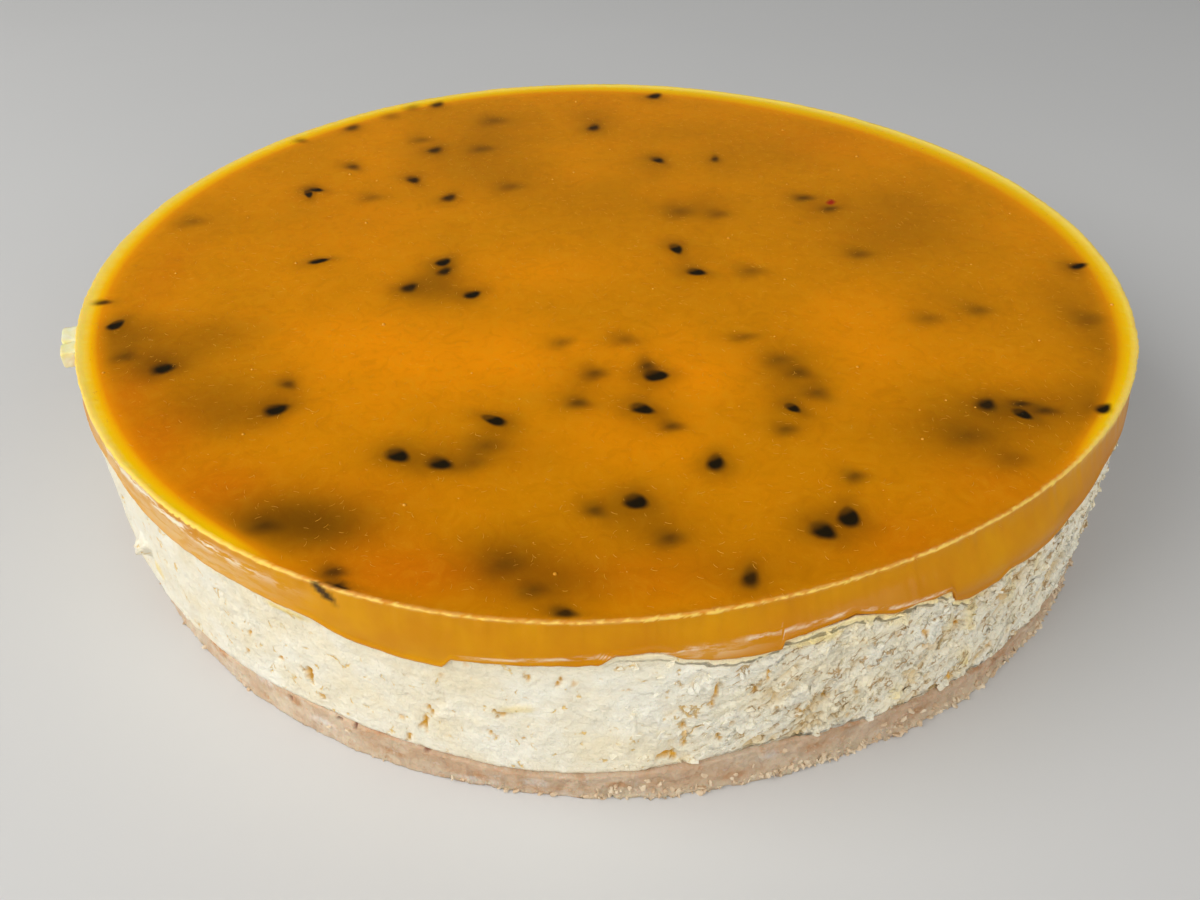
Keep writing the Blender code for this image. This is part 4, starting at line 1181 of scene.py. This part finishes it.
def make_filling(material):
    """The filling: rings from its seat on the base up its torn side to the jelly's lip."""
    azimuth = np.arange(CREAM_COLUMNS) * 360.0 / CREAM_COLUMNS - 180.0
    foot = base_edge(azimuth) + LAYER_GAP / 3
    top = jelly_edge(azimuth) + LAYER_GAP / 6
    side = side_radius(azimuth) - CREAM_INSET
    blank = np.zeros(CREAM_COLUMNS)
    rings = [
        round_place(azimuth, TIN_RADIUS - INTERFACE_INSET, BASE_HEIGHT + LAYER_GAP),
        round_place(azimuth, base_radius(azimuth) - 1.5 * MM, foot),
    ]
    worn = [(blank, blank, blank)] * 2
    for row in range(CREAM_ROWS + 1):
        share = min(1.0, (row + 0.3) / CREAM_ROWS)
        height = foot + share * (top - foot)
        reach, *wear = cream_side(azimuth, height, share)
        under = np.minimum(base_radius(azimuth) + 0.1 * MM - side, 0.0)
        tuck = under * (1.0 - smooth_step(0.0, 0.07, share))
        rings.append(round_place(azimuth, side + reach + tuck, height))
        worn.append(wear)
    rings.append(round_place(azimuth, TIN_RADIUS - LIP_THICKNESS, jelly_edge(azimuth)))
    rings.append(round_place(azimuth, TIN_RADIUS - LIP_THICKNESS - JELLY_SEAT_INSET, JELLY_SEAT))
    worn += [(blank, blank, blank)] * 2
    mesh = turned_piece("cream_layer", rings)
    for name, values in zip(("painted_hollow_shade", "pit", "butter_and_lip_shade"), zip(*worn)):
        set_attribute(mesh, name, np.concatenate([*values, [0.0, 0.0]]))
    growth = np.tile(smooth_step(0.15, 0.9, roughness_of(azimuth)), len(rings))
    growth[: 3 * CREAM_COLUMNS] = 0.0
    growth[-5 * CREAM_COLUMNS :] = 0.0
    set_attribute(mesh, "growth", np.concatenate([growth, [0.0, 0.0]]))
    mesh.materials.append(material)
    piece = add_piece("cream_layer", mesh)
    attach(piece, "root")
    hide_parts("cream_filling")
    return piece


def make_base(material):
    """The pressed base: rings from its foot up its crumbly side."""
    azimuth = np.arange(BASE_COLUMNS) * 360.0 / BASE_COLUMNS - 180.0
    top = base_edge(azimuth)
    radius = base_radius(azimuth)
    loose = crumbly(azimuth)
    rings = [round_place(azimuth, radius - 1.0 * MM, 0.0)]
    kept = {label: [np.zeros(BASE_COLUMNS)] for label in ("pit", "toasted", "fatty", "foot", "growth")}
    for row in range(BASE_ROWS):
        share = (row + 0.4) / BASE_ROWS
        height = share * top
        place = round_place(azimuth, TIN_RADIUS, height)
        bent = place + 0.4 * MM * drift(place, 1.8 * MM, 65)[..., None]
        foot = bell(height, 0.0, 1.0 * MM + 1.2 * MM * loose)
        flakes = 0.34 * MM * broken(bent, 2.4 * MM, 61) + 0.22 * MM * broken(bent, 1.1 * MM, 62)
        reach = (0.2 + 0.7 * loose + 0.5 * foot * loose) * flakes + 0.2 * MM * layered(place, 9.0 * MM, 63, 3)
        reach = reach + 0.5 * loose * MM * foot - 0.35 * MM * smooth_step(0.93, 1.0, share)
        for label, places in (("pit", BASE_PITS), ("toasted", TOASTED_PATCHES), ("fatty", FATTY_PATCHES)):
            found = np.zeros(BASE_COLUMNS)
            for centre, middle, half_width, half_height in places:
                along, off = leaning_place(azimuth, height, centre, middle, 0)
                away = np.hypot(along / half_width, off / half_height)
                found = np.maximum(found, 1.0 - smooth_step(0.5, 1.3, away))
            kept[label].append(found)
        rings.append(round_place(azimuth, radius + reach - 0.8 * MM * kept["pit"][-1], height))
        kept["foot"].append(foot * loose)
        kept["growth"].append(loose * (1.3 * foot + 0.06 * (share < 0.85)))
    rings.append(round_place(azimuth, radius - 1.8 * MM, top))
    rings.append(round_place(azimuth, TIN_RADIUS - INTERFACE_INSET, BASE_HEIGHT))
    mesh = turned_piece("biscuit_layer", rings)
    blank = np.zeros(2 * BASE_COLUMNS + 2)
    for label, values in kept.items():
        set_attribute(mesh, label, np.concatenate([*values, blank]))
    # painted shade: the base darker from the front round to the right
    painted_shade = between(azimuth, *SHADED_BASE)
    set_attribute(mesh, "painted_shade", np.concatenate([np.tile(0.3 * painted_shade, len(rings)), [0.0, 0.0]]))
    mesh.materials.append(material)
    piece = add_piece("biscuit_layer", mesh)
    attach(piece, "root")
    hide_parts("biscuit_base")
    return piece


def new_tree(name, sizes):
    """A Geometry Nodes tree with named inputs for its sizes. Returns it and its inputs."""
    tree = bpy.data.node_groups.new(name, "GeometryNodeTree")
    tree.interface.new_socket("Geometry", in_out="INPUT", socket_type="NodeSocketGeometry")
    for label, value in sizes.items():
        kind = "NodeSocketInt" if isinstance(value, int) else "NodeSocketFloat"
        tree.interface.new_socket(label, in_out="INPUT", socket_type=kind).default_value = value
    tree.interface.new_socket("Geometry", in_out="OUTPUT", socket_type="NodeSocketGeometry")
    return tree, tree.nodes.new("NodeGroupInput").outputs


def end_tree(tree, instances, material, smooth=True):
    """Realizes the instances, shades them and gives them their material."""
    real = wire(tree, "GeometryNodeRealizeInstances", {"Geometry": instances}).outputs[0]
    shaded = wire(tree, "GeometryNodeSetShadeSmooth", {"Geometry": real, "Shade Smooth": smooth}).outputs[0]
    painted = wire(tree, "GeometryNodeSetMaterial", {"Geometry": shaded, "Material": material}).outputs[0]
    wire(tree, "NodeGroupOutput", {"Geometry": painted})


def grown_piece(name, host_mesh, tree, values):
    """Runs a tree on a host mesh and keeps the result as a plain mesh."""
    piece = add_piece(name, host_mesh.copy())
    grow = piece.modifiers.new("grow", "NODES")
    grow.node_group = tree
    for item in tree.interface.items_tree:
        if item.in_out == "INPUT" and item.name in values:
            grow[item.identifier] = values[item.name]
    graph = bpy.context.evaluated_depsgraph_get()
    mesh = bpy.data.meshes.new_from_object(piece.evaluated_get(graph))
    piece.modifiers.remove(grow)
    piece.data = mesh
    mesh.name = name
    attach(piece, "root")
    return piece


def random_between(tree, low, high, seed, kind="FLOAT"):
    """A random number for each point or instance."""
    made = wire(tree, "FunctionNodeRandomValue", data_type=kind)
    first = 0 if kind == "FLOAT_VECTOR" else 2
    for place, value in ((first, low), (first + 1, high), (8, seed)):
        if isinstance(value, bpy.types.NodeSocket):
            tree.links.new(value, made.inputs[place])
        else:
            made.inputs[place].default_value = value
    return made.outputs[0 if kind == "FLOAT_VECTOR" else 1]


def size_between(tree, inputs, seed, power):
    """A size for each instance from the smallest to the largest, the small ones more often."""
    share = sums(tree, "POWER", random_between(tree, 0.0, 1.0, seed), power)
    span = sums(tree, "SUBTRACT", inputs["Largest"], inputs["Smallest"])
    return plus(tree, inputs["Smallest"], times(tree, share, span))


def copies_on(tree, points, form, **inputs):
    """Copies of a form on points."""
    inputs.update({"Points": points, "Instance": form})
    return wire(tree, "GeometryNodeInstanceOnPoints", inputs).outputs[0]


def moved_by(tree, geometry, offset):
    inputs = {"Geometry": geometry, "Offset": offset}
    return wire(tree, "GeometryNodeSetPosition", inputs).outputs[0]


def kept_number(tree, name):
    """A number kept on the host mesh, in a Geometry Nodes tree."""
    inputs = {"Name": name}
    return wire(tree, "GeometryNodeInputNamedAttribute", inputs, data_type="FLOAT").outputs[0]


def spots_on(tree, inputs):
    """Points spread over the host's faces where its growth value is high, and their turns."""
    made = wire(
        tree, "GeometryNodeDistributePointsOnFaces",
        {
            "Mesh": inputs["Geometry"], "Seed": inputs["Seed"],
            "Density": times(tree, inputs["Density"], kept_number(tree, "growth")),
        },
    ).outputs
    lift = scaled(tree, made["Normal"], inputs["Lift"])
    return moved_by(tree, made["Points"], lift), made["Rotation"]


def grain_tree(name, material):
    """Broken grains, such as crumbs and curds, scattered over a surface and lying along it."""
    tree, inputs = new_tree(name, CRUMBS)
    points, facing = spots_on(tree, inputs)
    grain = wire(tree, "GeometryNodeMeshIcoSphere", {"Radius": 0.5, "Subdivisions": 1}).outputs[0]
    turn = random_between(tree, (-1.0, -1.0, -3.1), (1.0, 1.0, 3.1), 1, "FLOAT_VECTOR")
    turn = vectors(tree, "MULTIPLY", turn, three_of(tree, inputs["Tilt"], inputs["Tilt"], 1.0))
    turn = wire(
        tree, "FunctionNodeRotateRotation", {"Rotation": facing, "Rotate By": turn}, rotation_space="LOCAL",
    ).outputs[0]
    size = size_between(tree, inputs, 2, 2.0)
    stretch = random_between(tree, (0.6, 0.6, 0.7), (1.4, 1.4, 1.3), 3, "FLOAT_VECTOR")
    stretch = vectors(tree, "MULTIPLY", stretch, three_of(tree, 1.0, 1.0, inputs["Flatness"]))
    placed = copies_on(tree, points, grain, Rotation=turn, Scale=scaled(tree, stretch, size))
    real = wire(tree, "GeometryNodeRealizeInstances", {"Geometry": placed}).outputs[0]
    place = wire(tree, "GeometryNodeInputPosition").outputs[0]
    shape = noise_of(tree, place, MM / 1.4, 2.0, kind="Color")
    centred = vectors(tree, "SUBTRACT", shape, (0.5, 0.5, 0.5))
    uneven = moved_by(tree, real, scaled(tree, centred, times(tree, inputs["Largest"], 0.5)))
    end_tree(tree, uneven, material, False)
    return tree


def thread_tree(name, material):
    """Short curved threads lying in a surface."""
    tree, inputs = new_tree(name, THREADS)
    points, _ = spots_on(tree, inputs)
    arc = {"Resolution": 4, "Radius": 1.0 * MM, "Sweep Angle": 0.8}
    arc = wire(tree, "GeometryNodeCurveArc", arc).outputs[0]
    bend = moved_by(tree, arc, (-0.92 * MM, -0.38 * MM, 0.0))
    profile = {"Resolution": 3, "Radius": inputs["Thickness"]}
    profile = wire(tree, "GeometryNodeCurvePrimitiveCircle", profile).outputs[0]
    thread = {"Curve": bend, "Profile Curve": profile, "Fill Caps": True}
    thread = wire(tree, "GeometryNodeCurveToMesh", thread).outputs[0]
    turn = random_between(tree, (0.0, 0.0, 0.0), (0.0, 0.0, 6.283), 4, "FLOAT_VECTOR")
    size = size_between(tree, inputs, 5, 1.8)
    placed = copies_on(tree, points, thread, Rotation=turn, Scale=three_of(tree, size, size, 1.0))
    end_tree(tree, placed, material)
    return tree


def bubble_tree(name, material):
    """Small round bubbles held in a surface."""
    tree, inputs = new_tree(name, BUBBLES)
    points, _ = spots_on(tree, inputs)
    form = wire(tree, "GeometryNodeMeshUVSphere", {"Segments": 12, "Rings": 8, "Radius": 0.5}).outputs[0]
    end_tree(tree, copies_on(tree, points, form, Scale=size_between(tree, inputs, 6, 2.5)), material)
    return tree


def seed_tree(name, material):
    """Teardrop seeds, one on each point, turned and sized by what the point holds."""
    tree, inputs = new_tree(name, {"Half thickness": SEED_HALF_THICKNESS})
    form = wire(tree, "GeometryNodeMeshUVSphere", {"Segments": 28, "Rings": 18, "Radius": 1.0}).outputs[0]
    place = wire(tree, "GeometryNodeInputPosition").outputs[0]
    parts = parts_of(tree, place)
    taper = sums(tree, "SUBTRACT", 1.0, times(tree, parts[0], SEED_TAPER))
    flat = sums(tree, "POWER", sums(tree, "ABSOLUTE", parts[2]), 0.6)
    flat = times(tree, sums(tree, "SIGN", parts[2]), flat)
    tapered = three_of(tree, parts[0], times(tree, parts[1], taper), flat)
    form = wire(tree, "GeometryNodeSetPosition", {"Geometry": form, "Position": tapered}).outputs[0]
    size = three_of(
        tree, kept_number(tree, "half_length"), kept_number(tree, "half_width"), inputs["Half thickness"],
    )
    turn = three_of(tree, 0.0, 0.0, kept_number(tree, "turn"))
    placed = copies_on(tree, inputs["Geometry"], form, Rotation=turn, Scale=size)
    end_tree(tree, placed, material)
    return tree


def make_seeds(material):
    """The seeds whose backs reach the top of the jelly."""
    nearest = np.array([seed for seed in NEAR_SEEDS if seed[5] >= SOLID_FROM])
    mesh = bpy.data.meshes.new("seed_points")
    heights = JELLY_TOP - SEED_HALF_THICKNESS + (0.08 + 1.0 * (nearest[:, 5] - SOLID_FROM)) * MM
    mesh.from_pydata(np.column_stack([nearest[:, :2] * MM, heights]).tolist(), [], [])
    set_attribute(mesh, "turn", np.radians(nearest[:, 2]))
    set_attribute(mesh, "half_length", SEED_SHARE * nearest[:, 3] * MM)
    set_attribute(mesh, "half_width", SEED_SHARE * nearest[:, 4] * MM)
    return grown_piece("seeds_at_the_top", mesh, seed_tree("seed_form", material), {})


def make_floor(material):
    """The plain floor that the cake stands on."""
    mesh = bpy.data.meshes.new("floor")
    size = FLOOR_HALF_SIZE
    corners = [(-size, -size, 0.0), (size, -size, 0.0), (size, size, 0.0), (-size, size, 0.0)]
    mesh.from_pydata(corners, [], [(0, 1, 2, 3)])
    mesh.materials.append(material)
    floor = add_piece("floor", mesh)


def make_camera():
    """The camera, where the photograph was taken from."""
    data = bpy.data.cameras.new("camera")
    data.sensor_width = SENSOR_WIDTH
    data.lens = FOCAL_PIXELS / IMAGE_WIDTH * SENSOR_WIDTH
    data.clip_start = 0.01
    camera = bpy.data.objects.new("camera", data)
    camera.matrix_world = Matrix.Translation(CAMERA_PLACE) @ camera_turn()
    bpy.context.scene.collection.objects.link(camera)
    bpy.context.scene.camera = camera


def make_light(name, place, size, power, colour):
    """A soft square lamp that points at the cake."""
    data = bpy.data.lights.new(name, "AREA")
    data.shape = "RECTANGLE"
    data.size, data.size_y = size
    data.energy = power
    data.color = colour
    lamp = bpy.data.objects.new(name, data)
    lamp.location = place
    lamp.rotation_euler = (Vector(LAMPS_AIM) - Vector(place)).to_track_quat("-Z", "Y").to_euler()
    bpy.context.scene.collection.objects.link(lamp)


def make_world():
    """A soft room, dimmer behind the cake than before it."""
    world = bpy.data.worlds.new("soft_room")
    world.use_nodes = True
    tree = world.node_tree
    background = tree.nodes["Background"]
    background.inputs["Color"].default_value = ROOM_COLOUR
    direction = wire(tree, "ShaderNodeTexCoord").outputs["Generated"]
    strength = spread(tree, parts_of(tree, direction)[1], -0.4, 0.5, ROOM_BEFORE, ROOM_BEHIND)
    tree.links.new(strength, background.inputs["Strength"])
    bpy.context.scene.world = world


def crumb_bed():
    """A narrow ring on the floor round the foot, where crumbs lie."""
    columns = CRUMB_BED_COLUMNS
    azimuth = np.arange(columns) * 360.0 / columns
    radius = base_radius(azimuth)
    points = np.concatenate([round_place(azimuth, radius + out * MM, 0.3 * MM) for out in (-0.6, 0.9)])
    mesh = mesh_of("crumb_bed", points, ring_faces(columns, 0, columns))
    patchy = 0.4 + 0.6 * smooth_step(-0.3, 0.3, drift(points[:columns], 9.0 * MM, 71))
    inner = crumbly(azimuth) ** 2 * patchy
    set_attribute(mesh, "growth", np.concatenate([inner, inner * 0.15]))
    return mesh


def main():
    make_camera()
    cream = cream_material()
    pulp = pulp_material()
    crumb = crumb_material()
    jelly_piece = make_jelly(jelly_material())
    cream_piece = make_filling(cream)
    base_piece = make_base(biscuit_material())
    make_scrap(scrap_material())
    make_seeds(seed_material())

    threads = thread_tree("pulp_threads_form", pulp)
    grown_piece("pulp_threads", jelly_piece.data, threads, THREADS)
    bubbles = bubble_tree("pulp_bubbles_form", pulp)
    grown_piece("pulp_bubbles", jelly_piece.data, bubbles, BUBBLES)
    curds = grain_tree("curd_form", cream)
    grown_piece("cream_curds", cream_piece.data, curds, CURDS)
    crumbs = grain_tree("crumb_form", crumb)
    grown_piece("base_crumbs", base_piece.data, crumbs, CRUMBS)
    grown_piece("foot_crumbs", crumb_bed(), crumbs, FOOT_CRUMBS)

    make_floor(floor_material())
    make_light("window_left", *WINDOW_LEFT)
    make_light("room_front", *ROOM_FRONT)
    make_world()
    bpy.context.scene.view_settings.view_transform = "Standard"


main()
